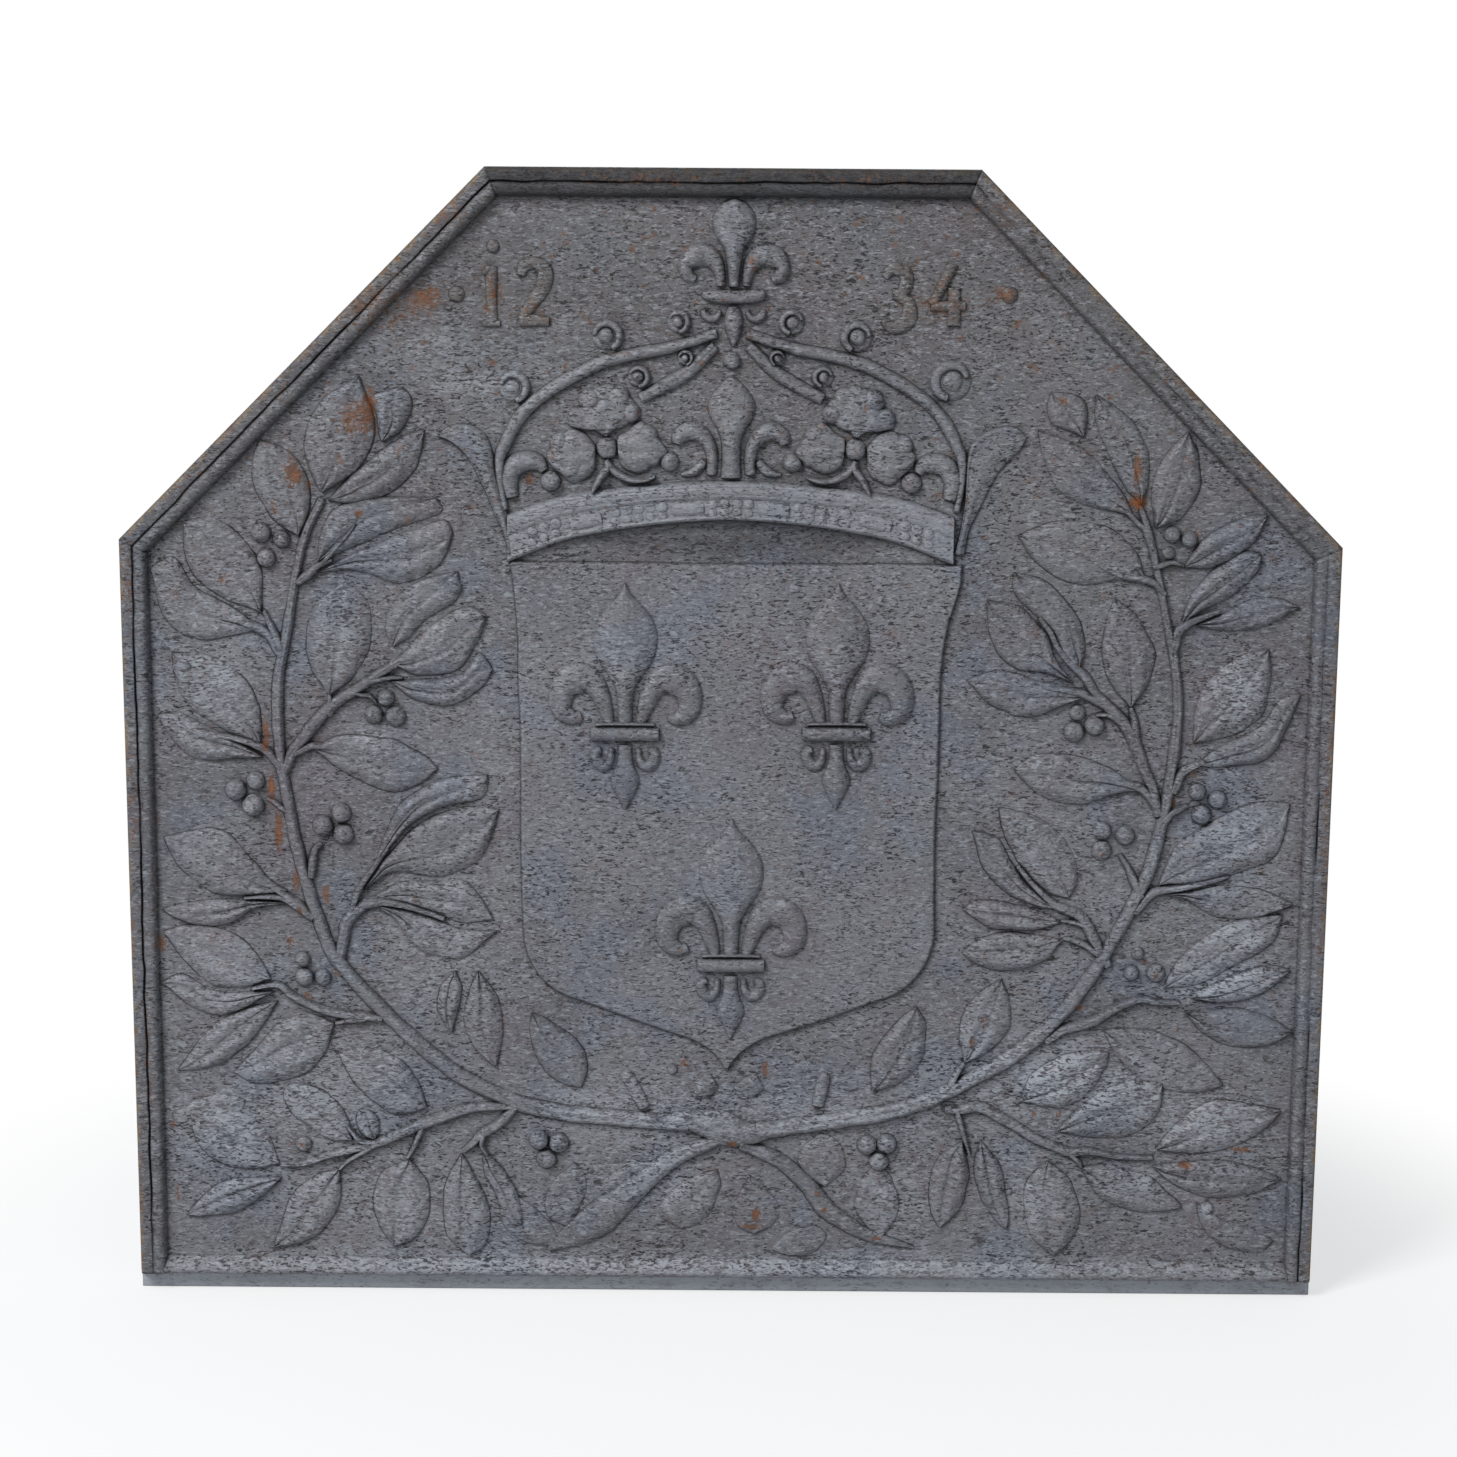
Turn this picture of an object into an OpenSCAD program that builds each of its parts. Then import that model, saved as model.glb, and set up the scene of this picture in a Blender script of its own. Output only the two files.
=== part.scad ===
// Fireback with a crowned shield between two laurel branches.
// One iron casting: each piece below is one of the carved patterns that were laid on the pattern board.
// Millimetres, z up, origin in the middle of the foot strip's underside; the carved front faces -y.

/* [Plate] */
// Width over the two sides
plate_w = 780; // [700:5:1000]
// Height of the plate above its foot strip
plate_h = 726; // [690:5:900]
// Thickness of the plain plate
plate_t = 20; // [16:1:30]
// How much is cut from each top corner, along the top and along the side
corner_cut = 235; // [180:5:260]
// Height of the plain strip under the plate
foot_h = 12; // [6:1:30]
// How far the foot strip's front stands behind the plate's ground
foot_setback = 3; // [1:0.5:8]

/* [Border moulding] */
// Width of the moulding, outer edge to ground
rim_w = 18; // [14:1:26]
// Height of its inner rib above the ground
rim_rise = 7; // [4:0.5:12]
// Width of the sloping outer edge
rim_edge_w = 3; // [1:0.5:5]
// Width of the sloping moulding along the bottom
sill_w = 12; // [8:1:20]

/* [Shield] */
// Width of the shield's field
shield_w = 272; // [240:1:300]
// Height of the shield, point to top edge
shield_h = 337; // [300:1:370]
// Height of the shield's point above the plate's bottom edge
shield_z = 141; // [125:1:160]
// Thickness of the shield over the ground
shield_rise = 3.5; // [2:0.5:6]
// Width of the bevel round the shield
shield_bevel = 3; // [1:0.5:5]

/* [Lilies on the shield] */
// Width over the two curls
lily_w = 100; // [80:1:112]
// Height, tip to tip
lily_h = 145; // [120:1:160]
// Height of the carving over the shield
lily_rise = 6; // [3:0.5:9]

/* [Crown] */
// Height of the circlet's band over the ground
circlet_rise = 8; // [5:0.5:11]
// Width of the circlet's band in the middle
circlet_h = 25; // [20:1:30]
// Width of the arches
arch_w = 8; // [5:0.5:11]
// Height of the arches and scrolls over the ground
arch_rise = 5; // [3:0.5:8]
// Height of the crown's lilies and flowers over the ground
crown_rise = 6; // [3:0.5:9]
// Diameter of the pearls on the circlet
pearl_d = 6; // [4:0.5:7]

/* [Laurel] */
// Width of the two main stems at their thick ends
stem_w = 11; // [7:0.5:14]
// Height of the main stems over the ground
stem_rise = 5.5; // [3:0.5:8]
// Width of the side twigs
twig_w = 6; // [4:0.5:8]
// Height of the leaves over the ground
leaf_rise = 5; // [3:0.5:8]
// Diameter of a berry
berry_d = 13; // [9:0.5:15]

/* [Hidden] */
foot_t = plate_t - foot_setback;
back = foot_t / 2;              // y of the flat back
ground = back - plate_t;        // y of the plate's ground, on which the carving lies
top_z = foot_h + plate_h;
half = plate_w / 2;
shield_foot = foot_h + shield_z;
iron = [0.43, 0.44, 0.46];
iron_light = [0.52, 0.53, 0.55];
iron_brown = [0.44, 0.40, 0.37];

// ---- curves ----

function unit(v) = v / max(norm(v), 0.0001);
function turned(v, a) = [v.x * cos(a) - v.y * sin(a), v.x * sin(a) + v.y * cos(a)];
function mixed(a, b, t) = a + (b - a) * t;
// value of a list of numbers at t from 0 to 1, straight between its entries
function along(list, t) = let (s = t * (len(list) - 1), i = min(floor(s), len(list) - 2))
    mixed(list[i], list[i + 1], s - i);
// smooth curve through hand-set points (Catmull-Rom), with n steps between neighbours
function through(p, n) = let (last = len(p) - 1)
    concat([for (i = [0 : last - 1], k = [0 : n - 1])
        let (a = p[max(i - 1, 0)], b = p[i], c = p[i + 1], d = p[min(i + 2, last)], t = k / n)
        0.5 * (2 * b + (c - a) * t + (2 * a - 5 * b + 4 * c - d) * t * t
            + (3 * b - a - 3 * c + d) * t * t * t)], [p[last]]);
// curve from a towards b, ending at c, in n steps
function bowed(a, b, c, n) = [for (k = [0 : n]) let (t = k / n)
    (1 - t) * (1 - t) * a + 2 * t * (1 - t) * b + t * t * c];
function arc(centre, r, a0, a1, n) = [for (k = [0 : n]) let (a = mixed(a0, a1, k / n))
    centre + r * [cos(a), sin(a)]];
// a spiral that winds inwards from radius r0 to r1
function spiral(centre, r0, r1, a0, a1, n) = [for (k = [0 : n]) let (t = k / n, a = mixed(a0, a1, t))
    centre + mixed(r0, r1, t) * [cos(a), sin(a)]];
function mirrored(p, s) = [for (q = p) [q.x * s, q.y]];

// ---- the carver's grid ----
// Points of the carving are written in the squares of this grid, and move with the lines they stand between.
// Up: top of the sill, point and top edge of the shield, underside of the top border.
// Across: middle, side of the shield, inside of the border at that height, which the two slopes draw in.

grid_z = [24, 153, 490, 720];
grid_x = [0, 136, 372];
grid_slope = 867.5;             // x + z on the inside of the sloping border
function grid_end(z) = min(grid_x[2], grid_slope - z);
line_z = [foot_h + sill_w, shield_foot, shield_foot + shield_h, top_z - rim_w];
line_side = shield_w / 2;
function line_end(z) = min(half - rim_w, half - rim_w + top_z - corner_cut - rim_w * (sqrt(2) - 1) - z);

function zone(z) = z <= grid_z[1] ? 0 : z <= grid_z[2] ? 1 : 2;
function up_square(z) = let (i = zone(z)) (line_z[i + 1] - line_z[i]) / (grid_z[i + 1] - grid_z[i]);
function up(z) = line_z[zone(z)] + (z - grid_z[zone(z)]) * up_square(z);
function across_square(p) = abs(p.x) <= grid_x[1] ? line_side / grid_x[1]
    : (line_end(up(p.y)) - line_side) / (grid_end(p.y) - grid_x[1]);
function across(p) = sign(p.x) * (abs(p.x) <= grid_x[1] ? abs(p.x) * across_square(p)
    : line_side + (abs(p.x) - grid_x[1]) * across_square(p));
function put(p) = [across(p), up(p.y)];
function puts(p) = [for (q = p) put(q)];
// the smaller side of the grid's square at a point, for widths that are written in squares
function square(p) = min(up_square(p.y), across_square(p));
function shares(list, whole) = [for (v = list) v * whole];

// ---- carved forms ----
// A form lies on the ground plane between a left and a right edge, with a height at each step along them.
// Its section is a list of [across from -1 to 1, up from 0 to 1], flat underneath.

ROUND = [[-1, 0], [-0.72, 0.68], [0, 1], [0.72, 0.68], [1, 0]];
RIDGE = [[-1, 0], [-0.5, 0.75], [0, 1], [0.5, 0.75], [1, 0]];
VEINED = [[-1, 0], [-0.72, 0.95], [0, 0.5], [0.72, 0.95], [1, 0]];
HOLLOW = [[-1, 0], [-0.8, 0.7], [0.1, 0.4], [0.8, 1], [1, 0]];

// the level that it lies on is one number, or a list of numbers along it
function sheet(left, right, rise, section = ROUND, level = ground) = let (
    n = len(left), m = len(section), levels = is_list(level) ? level : [level, level],
    pts = [for (i = [0 : n - 1], s = section)
        let (q = mixed(right[i], left[i], (s[0] + 1) / 2), t = i / (n - 1))
        [q.x, along(levels, t) - along(rise, t) * s[1], q.y]],
    skin = [for (i = [0 : n - 2], j = [0 : m - 2]) let (a = i * m + j, b = a + m)
        each [[a, a + 1, b + 1], [a, b + 1, b]]],
    back = [for (i = [0 : n - 2]) let (a = i * m, b = a + m)
        each [[a, b, b + m - 1], [a, b + m - 1, a + m - 1]]],
    ends = [[for (j = [m - 1 : -1 : 0]) j], [for (j = [0 : m - 1]) (n - 1) * m + j]])
    [pts, concat(skin, back, ends)];

// a form along a path, its edges half its width to either side
function heading(p, i) = unit(p[min(i + 1, len(p) - 1)] - p[max(i - 1, 0)]);
function beside(p, width, s) = [for (i = [0 : len(p) - 1])
    p[i] + turned(heading(p, i), 90) * s * along(width, i / (len(p) - 1)) / 2];
function form(path, width, rise, section = ROUND, level = ground) =
    sheet(beside(path, width, 1), beside(path, width, -1), rise, section, level);

// a form inside an outline: foot, three points of its left edge, tip, three points of its right edge
function edge(p) = let (e = through(p, 2), last = len(e) - 1)
    concat([mixed(e[0], e[1], 0.15)], [for (i = [1 : last - 1]) e[i]], [mixed(e[last], e[last - 1], 0.1)]);
function blade(p, rise, section = VEINED) = sheet(edge([for (i = [0 : 4]) p[i]]),
    edge([for (i = [8 : -1 : 4]) p[i % 8]]), rise, section);
// such an outline seen in a mirror
function turned_over(p) = [for (i = [8 : -1 : 1]) [-p[i % 8].x, p[i % 8].y]];

// several forms that don't touch, as one set of closed shells
module carved(forms) {
    starts = [for (i = 0, s = 0; i < len(forms); s = s + len(forms[i][0]), i = i + 1) s];
    polyhedron(points = [for (f = forms) each f[0]],
        faces = [for (i = [0 : len(forms) - 1]) for (f = forms[i][1]) [for (v = f) v + starts[i]]]);
}

// a boss like half a flattened ball
module boss(at, d, rise, level = ground)
    translate([at.x, level, at.y]) rotate([90, 0, 0]) rotate_extrude($fn = 24)
        polygon([for (a = [0 : 15 : 90]) [d / 2 * cos(a), rise * sin(a)], [0, 0]]);

// ---- plate ----

// corner of the plate's outline, moved inwards by d: 0 bottom left, then clockwise
function corner(i, d) = let (k = d * (sqrt(2) - 1)) [
    [-half + d, foot_h],
    [-half + d, top_z - corner_cut - k],
    [-half + corner_cut + k, top_z - d],
    [half - corner_cut - k, top_z - d],
    [half - d, top_z - corner_cut - k],
    [half - d, foot_h]][i];

module back_plate() color(iron)
    translate([0, back, 0]) rotate([90, 0, 0])
        linear_extrude(plate_t) polygon([for (i = [0 : 5]) corner(i, 0)]);

module foot_strip() color(iron)
    translate([-half, -foot_t / 2, 0]) cube([plate_w, foot_t, foot_h]);

// section of the moulding: sloping edge, flat outer band, groove, round inner rib
rim_section = [[0, 0], [rim_edge_w, rim_rise * 0.8], [rim_w * 0.46, rim_rise * 0.8],
    [rim_w * 0.5, rim_rise * 0.45], [rim_w * 0.56, rim_rise * 0.55],
    [rim_w * 0.62, rim_rise * 0.9], [rim_w * 0.72, rim_rise],
    [rim_w * 0.84, rim_rise * 0.85], [rim_w * 0.93, rim_rise * 0.4], [rim_w, 0]];

// one straight length of the moulding, cut off at the mitres of two neighbouring corners
module rim(i) color(iron_light) {
    from = corner(i, 0);
    to = corner(i + 1, 0);
    spare = 1;
    intersection() {
        translate([from.x, ground, from.y])
            rotate([0, -atan2(to.y - from.y, to.x - from.x), 0]) rotate([90, 0, 90])
            linear_extrude(norm(to - from)) polygon([for (s = rim_section) [-s[1], -s[0]]]);
        translate([0, ground + spare, 0]) rotate([90, 0, 0]) linear_extrude(rim_rise + 2 * spare)
            polygon([corner(i, -spare), corner(i + 1, -spare),
                corner(i + 1, rim_w + spare), corner(i, rim_w + spare)]);
    }
}
module rim_side_left() rim(0);
module rim_slope_left() rim(1);
module rim_top() rim(2);
module rim_slope_right() rim(3);
module rim_side_right() rim(4);

// along the bottom the moulding is one slope that rises towards the lower edge
module rim_sill() color(iron_light)
    translate([-half + rim_w, ground, foot_h]) rotate([90, 0, 90]) linear_extrude(plate_w - 2 * rim_w)
        polygon([[0, 0], [-rim_rise * 0.8, 1], [-rim_rise * 0.9, 3],
            [-rim_rise * 0.6, sill_w * 0.6], [0, sill_w]]);

// ---- shield ----

shield_right = concat(
    [[136, 490], [136, 247]],
    arc([90, 247], 46, -8, -78, 7),
    [[62, 189]],
    bowed([36, 180], [8, 173], [0, 153], 5));
shield_outline = puts(concat(shield_right,
    [for (i = [len(shield_right) - 2 : -1 : 0]) [-shield_right[i].x, shield_right[i].y]]));

// the outline moved inwards by d
function drawn_in(p, d) = let (n = len(p)) [for (i = [0 : n - 1]) let (
    before = unit(p[i] - p[(i + n - 1) % n]), after = unit(p[(i + 1) % n] - p[i]),
    to_side = unit(turned(before, -90) + turned(after, -90)))
    p[i] + to_side * d / max(0.5, to_side * turned(after, -90))];

module shield_field() color(iron) {
    low = shield_outline;
    high = drawn_in(shield_outline, shield_bevel);
    n = len(low);
    polyhedron(points = concat([for (q = low) [q.x, ground, q.y]],
            [for (q = high) [q.x, ground - shield_rise, q.y]]),
        faces = concat([[for (i = [n - 1 : -1 : 0]) i], [for (i = [0 : n - 1]) n + i]],
            [for (i = [0 : n - 1]) let (j = (i + 1) % n) each [[i, j, n + j], [i, n + j, n + i]]]));
}

// horns that curl outwards over the shield's two top corners
horns = [
    [[-143, 497], [-149, 519], [-158, 540], [-170, 559], [-185, 570], [-158, 574], [-152, 550], [-146, 524]],
    [[148, 505], [150.5, 523], [152, 547], [156, 573], [186, 577], [176, 556], [164, 535], [157, 515]]];
horn_high = [0.6, 0.75, 0.92, 0.83, 0.5];
module shield_horn(i) color(iron_light)
    carved([blade(puts(horns[i]), shares(horn_high, crown_rise), HOLLOW)]);
module shield_horn_left() shield_horn(0);
module shield_horn_right() shield_horn(1);

// ---- lilies ----
// A lily is a list of strokes round one point: line, widths, shares of the rise, section, and whether it has
// a mirror image. The shield's lily is in hundredths of its width and height, the crown's two are in squares.

PETAL_HIGH = [0.6, 1, 1, 0.4];
CURL_HIGH = [0.5, 0.8, 0.8, 0.5];
BAND_HIGH = [0.6, 0.9, 0.9, 0.6];
shield_lily_strokes = [
    [[[0, 4.5], [0, 13], [0, 20], [0, 27], [0, 34], [0, 42], [0, 50], [0, 57], [0, 62], [0, 67]],
        [9, 10, 12, 23, 36, 41, 37, 23, 9, 1.5], PETAL_HIGH, RIDGE, false],
    [[[10, 4.6], [12.5, 11], [16, 18], [22, 23.8], [30, 24.8],
        [38, 21.9], [41.5, 15.9], [40, 10], [33, 7], [28, 8]],
        [6, 9.5, 12.5, 17, 20, 18.5, 16, 13, 9, 6], CURL_HIGH, ROUND, true],
    [[[-21, 0], [-18, 0], [18, 0], [21, 0]], [7, 9, 9, 7], BAND_HIGH, ROUND, false],
    [[[0, -5], [0, -10], [0, -15], [0, -20], [0, -24], [0, -29], [0, -34]],
        [9, 9, 12, 18, 16, 9, 1.5], [0.6, 0.7, 0.3], RIDGE, false],
    [[[8.5, -6.5], [9.5, -12], [13.5, -14.5], [18, -12.5], [19, -8.5], [15.5, -7]],
        [3.5, 5, 7, 7.5, 6.5, 4], [0.5, 0.6], ROUND, true]];
centre_lily_strokes = [
    [[[0, -1], [0, 8], [0, 16], [0, 23], [0, 30], [0, 37], [0, 44], [0, 51], [0, 58], [0, 63.5]],
        [13, 11.5, 11.5, 12.5, 18, 26.5, 30, 25, 14, 2], PETAL_HIGH, RIDGE, false],
    [[[12.5, 1], [12, 11], [13.5, 19], [19, 26.5], [26.5, 28.5], [32.5, 25], [34, 20.5]],
        [6.5, 7, 8, 10.5, 11.5, 10, 6.5], CURL_HIGH, ROUND, true]];
top_lily_strokes = [
    [[[0, 6], [0, 15], [0, 22], [0, 29], [0, 34], [0, 38], [0, 44], [0, 51], [0, 57], [0, 60]],
        [6.5, 7.5, 9.5, 12, 18.5, 23.5, 26.5, 25, 16, 6], PETAL_HIGH, RIDGE, false],
    [[[8, 6.5], [8.8, 14], [12.5, 22], [18.5, 25.5], [26, 24], [30.5, 18.5], [28.5, 12.5], [24, 10.5]],
        [5.5, 6.5, 11, 14, 13.5, 9.5, 8, 5], CURL_HIGH, ROUND, true],
    [[[-19, 3], [-15, 0.5], [0, -0.5], [15, 0.5], [19, 3]], [4, 7.5, 8.5, 7.5, 4], BAND_HIGH, ROUND, false],
    [[[0, -6.5], [0, -13], [0, -19], [0, -25], [0, -31]],
        [7, 11.5, 10.5, 7, 2], [0.7, 0.9, 0.4], RIDGE, false],
    [[[8.5, -9], [10.5, -13], [14.5, -14], [18, -11.5], [18.5, -8.5]],
        [2.5, 4, 5, 5, 3.5], [0.5, 0.6], ROUND, true]];

module lily(strokes, at, kx, kz, rise, level = ground)
    carved([for (k = strokes, s = k[4] ? [-1, 1] : [1])
        form([for (q = k[0]) [at.x + s * q.x * kx, at.y + q.y * kz]],
            shares(k[1], kx), shares(k[2], rise), k[3], level)]);

shield_face = ground - shield_rise;
module shield_lily(x, z) color(iron_light)
    lily(shield_lily_strokes, put([x, z]), lily_w / 100, lily_h / 100, lily_rise, shield_face);
module shield_lily_left() shield_lily(-67, 380);
module shield_lily_right() shield_lily(69, 381);
module shield_lily_bottom() shield_lily(2, 227);

// ---- crown ----

crown_bead = [39, 555];
module crown_lily_centre() color(iron_light) {
    k = square(crown_bead);
    lily(centre_lily_strokes, put([0, 546]), k, k, crown_rise);
    for (s = [-1, 1]) boss(put([s * crown_bead.x, crown_bead.y]), 12 * k, crown_rise);
}
module crown_lily_top() color(iron_brown)
    lily(top_lily_strokes, put([1, 659]), square([0, 659]), square([0, 659]), crown_rise);

// the circlet is a band bent upwards, its upper edge flatter than its lower one
band_edge = [[-142, 521], [-106.5, 533], [-71, 538.5], [-35.5, 541.6], [0, 543],
    [35.5, 541.6], [71, 538.5], [106.5, 533], [142, 521]];
band_high = shares([0.6, 1, 0.6], circlet_rise);
band_wide = shares([1.24, 1.16, 1.08, 1.02, 1, 1.02, 1.08, 1.16, 1.24], circlet_h);
band_upper = puts(band_edge);
band_lower = [for (i = [0 : len(band_edge) - 1]) band_upper[i] - [0, band_wide[i]]];
band_floor = 0.7;               // height of the band between its two edge rolls, as a share of the whole
BAND = [[-1, 0], [-1, 0.85], [-0.8, 0.95], [-0.7, band_floor],
    [0.62, band_floor], [0.72, 0.95], [0.9, 0.95], [1, 0]];
module crown_circlet() color(iron_light)
    carved([sheet(through(band_upper, 3), through(band_lower, 3), band_high, BAND)]);

// two rows of pearls between long stones, from the middle outwards
pearl_x = [4, 11.5, 43, 50.5, 58, 65.5, 73, 111, 118.5, 126];
stone_x = [17, 27, 37];
outer_stone_x = [82, 92, 102];
stone_wide = shares([0.8, 1, 0.8], 1.5 * pearl_d);
pearl_rise = 0.22 * circlet_rise;
seated = 0.01;                  // share of the band's height by which pearls and stones sit in it
function band_t(x) = 0.5 + x / (2 * abs(band_edge[0].x));
function band_at(x, down) = mixed(along(band_upper, band_t(x)), along(band_lower, band_t(x)), down);
function band_level(x) = ground - (band_floor - seated) * along(band_high, band_t(x));
function stone(xs) = form([for (x = xs) band_at(x, 0.5)], stone_wide, [pearl_rise, pearl_rise], ROUND,
    [for (x = xs) band_level(x)]);
function leftwards(xs) = [for (i = [len(xs) - 1 : -1 : 0]) -xs[i]];
module crown_pearls() color(iron_light) {
    for (x = pearl_x, s = [-1, 1], down = [0.34, 0.66])
        boss(band_at(s * x, down), pearl_d, pearl_rise, band_level(s * x));
    carved([for (xs = [stone_x, outer_stone_x]) each [stone(xs), stone(leftwards(xs))]]);
}

// flower of three swelling lobes on a flared foot; the lobes are outlines round the middle of the left flower
flower_lobes = [
    [[0, 9.5], [-12.5, 11.5], [-23, 18.5], [-14.5, 32], [-1, 39.5], [14, 33.5], [19, 22], [11.5, 12.5]],
    [[-9.5, -3], [-10.5, -14.5], [-21, -22.5], [-31.5, -15], [-35.5, -5], [-31, 4], [-20.5, 9], [-13, 5]],
    [[9.5, -3], [13.5, 7.5], [22.5, 15.5], [30, 8], [34, -2], [31.5, -11], [22.5, -16.5], [12, -14]]];
module crown_flower(s) color(iron_light) {
    k = square([79, 563]);
    at = put([s * 79, 564]);
    lobes = [for (l = flower_lobes) [for (q = s < 0 ? l : turned_over(l)) at + k * q]];
    carved(concat([for (l = lobes) blade(l, shares([0.6, 1, 0.9, 0.5], crown_rise), ROUND)],
        [form([for (d = [9.5, 16, 24]) at - [0, d * k]], shares([5, 6, 13], k),
            shares([0.6, 0.7], crown_rise))]));
    boss(at, 15 * k, crown_rise);
}
module crown_flower_left() crown_flower(-1);
module crown_flower_right() crown_flower(1);

// half lily where the circlet turns out of sight
end_curl = [[139, 532], [141, 543], [137, 552], [129, 555], [122, 553.5], [118.5, 549]];
end_bead = [114, 540.5];
module crown_curl(s) color(iron_light) {
    k = square(end_bead);
    carved([form(puts(mirrored(through(end_curl, 2), s)), shares([7, 9.5, 10, 9, 7.5, 5], k),
        shares([0.67, 0.9, 0.9, 0.67], crown_rise))]);
    boss(put([s * end_bead.x, end_bead.y]), 11 * k, crown_rise);
}
module crown_curl_left() crown_curl(-1);
module crown_curl_right() crown_curl(1);

outer_arch = through([[146, 557], [143, 566], [137, 578], [129, 588.5], [116, 599], [100, 608.5], [85, 616],
    [70, 620.5], [56, 623.5], [40, 626.5], [24, 631], [9.5, 636]], 2);
inner_arch = through([[57.5, 595], [47, 600.5], [37, 606], [28, 611.5], [20, 618.5], [10.5, 628]], 2);
module crown_arch_outer() color(iron_light) carved([for (s = [-1, 1])
    form(puts(mirrored(outer_arch, s)), shares([1, 1, 0.8], arch_w), shares([1, 1, 0.8], arch_rise))]);
module crown_arch_inner() color(iron_light) carved([for (s = [-1, 1])
    form(puts(mirrored(inner_arch, s)), shares([0.6, 0.8, 0.75], arch_w), shares([0.6, 0.9], arch_rise))]);

// scrolls: x, z of the eye, radius, angle where the scroll leaves the arch, 1 or -1 for its turn
scrolls = [
    [-138, 601.5, 7.5, -50, 1], [-79, 634, 7.3, -40, 1], [-34, 643, 5.5, -60, 1],
    [139, 607, 9.5, 230, -1], [79, 634, 7.3, 220, -1], [38, 643, 6, 230, -1],
    [-59, 608.5, 5.2, -60, 1], [-29.5, 620.5, 3.8, -50, 1], [58, 609, 5, 230, -1], [29, 620.5, 3.8, 220, -1]];
top_bead = [0, 619];
module crown_scrolls() color(iron_light) {
    carved([for (c = scrolls) form(
        puts(spiral([c[0], c[1]], 1.15 * c[2], c[2], c[3] + c[4] * 40, c[3] + c[4] * 250, 11)),
        shares([0.45, 0.5, 0.4], arch_w * min(1, c[2] / scrolls[0][2])),
        shares([0.7, 0.8, 0.6], arch_rise))]);
    for (c = scrolls) boss(put([c[0], c[1]]), 1.15 * c[2] * square([c[0], c[1]]), arch_rise);
    boss(put(top_bead), 11 * square(top_bead), arch_rise);
}

// ---- laurel ----

left_stem = through([[-260, 530], [-273, 500], [-283, 450], [-291, 397], [-285, 329], [-268, 258],
    [-248, 218], [-189, 159], [-144, 134], [-110, 125], [-67, 121], [-25, 118]], 3);
right_stem = through([[266, 512], [277, 467], [288, 411], [286, 360], [278, 310], [265, 272], [232, 212],
    [198, 174], [153, 145], [116, 129], [80, 122], [20, 113]], 3);
module laurel_stem(p) color(iron_light)
    carved([form(puts(p), shares([0.45, 0.7, 0.9, 1], stem_w), shares([0.6, 0.9, 1], stem_rise))]);
module laurel_stem_left() laurel_stem(left_stem);
module laurel_stem_right() laurel_stem(right_stem);

// twigs, each from its thick end, where it leaves the stem or a bigger twig
left_twigs = [
    [[-271, 480], [-266, 485]],
    [[-294, 434], [-296, 441], [-298, 450]],
    [[-280, 367], [-270, 381], [-260, 393], [-250, 401], [-239, 408], [-223, 418]],
    [[-297, 356], [-297, 364]],
    [[-293, 333], [-298, 335]],
    [[-267, 291], [-268, 299], [-264, 304]],
    [[-279, 262], [-284, 269]],
    [[-249, 241], [-248, 252], [-243, 260], [-238, 264]],
    [[-234, 189], [-252, 191], [-265, 194], [-277, 199], [-287, 205], [-293, 209]],
    [[-153, 129], [-171, 127], [-199, 117], [-229, 104], [-252, 97], [-275, 90], [-288, 88]],
    [[-146, 121], [-152, 115], [-161, 109], [-168, 103]]];
right_twigs = [
    [[264, 518], [262, 526]],
    [[279, 491], [285, 491]],
    [[292, 441], [293, 449]],
    [[273, 342], [267, 362], [258, 383], [248, 395], [235, 408], [227, 417]],
    [[293, 349], [296, 356]],
    [[290, 331], [297, 334]],
    [[260, 285], [258, 293], [254, 300]],
    [[238, 243], [233, 253], [229, 260], [225, 263]],
    [[220, 185], [231, 187], [242, 191], [251, 197], [261, 202], [271, 205], [283, 204], [296, 203]],
    [[143, 128], [164, 130], [172, 129], [191, 118], [203, 110], [215, 105], [227, 101], [239, 100],
        [255, 98], [279, 97]],
    [[157, 123], [160, 113]]];
module twigs(list) color(iron_light) carved([for (p = list)
    form(puts(through(p, 2)), shares([1, 0.8, 0.6], twig_w), shares([0.75, 0.6], stem_rise))]);
module laurel_twigs_left() twigs(left_twigs);
module laurel_twigs_right() twigs(right_twigs);

// leaves by their outlines, foot first
leaf_high = [0.6, 0.9, 1, 1, 0.9, 0.7, 0.3];
module leaves(list) color(iron_light) carved([for (l = list) blade(puts(l), shares(leaf_high, leaf_rise))]);

module leaves_left_top() leaves([
    [[-260, 534], [-267, 548], [-270, 567], [-259, 591], [-235, 608], [-226, 580], [-231, 556], [-245, 542]],
    [[-221, 566], [-224, 575], [-225, 585], [-227, 595], [-208, 601], [-203, 593], [-204, 582], [-211, 572]],
    [[-256, 529], [-242, 543], [-225, 559], [-209, 569], [-194, 574], [-200, 550], [-216, 534], [-237, 527]],
    [[-275, 506], [-290, 516], [-301, 533], [-304, 551], [-299, 567], [-283, 562], [-271, 547], [-267, 527]],
    [[-263, 490], [-261, 508], [-251, 524], [-228, 531], [-187, 531], [-185, 521], [-210, 512], [-237, 501]],
    [[-263, 483], [-236, 497], [-208, 508], [-183, 517], [-177, 509], [-186, 488], [-210, 476], [-240, 484]]]);
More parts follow.
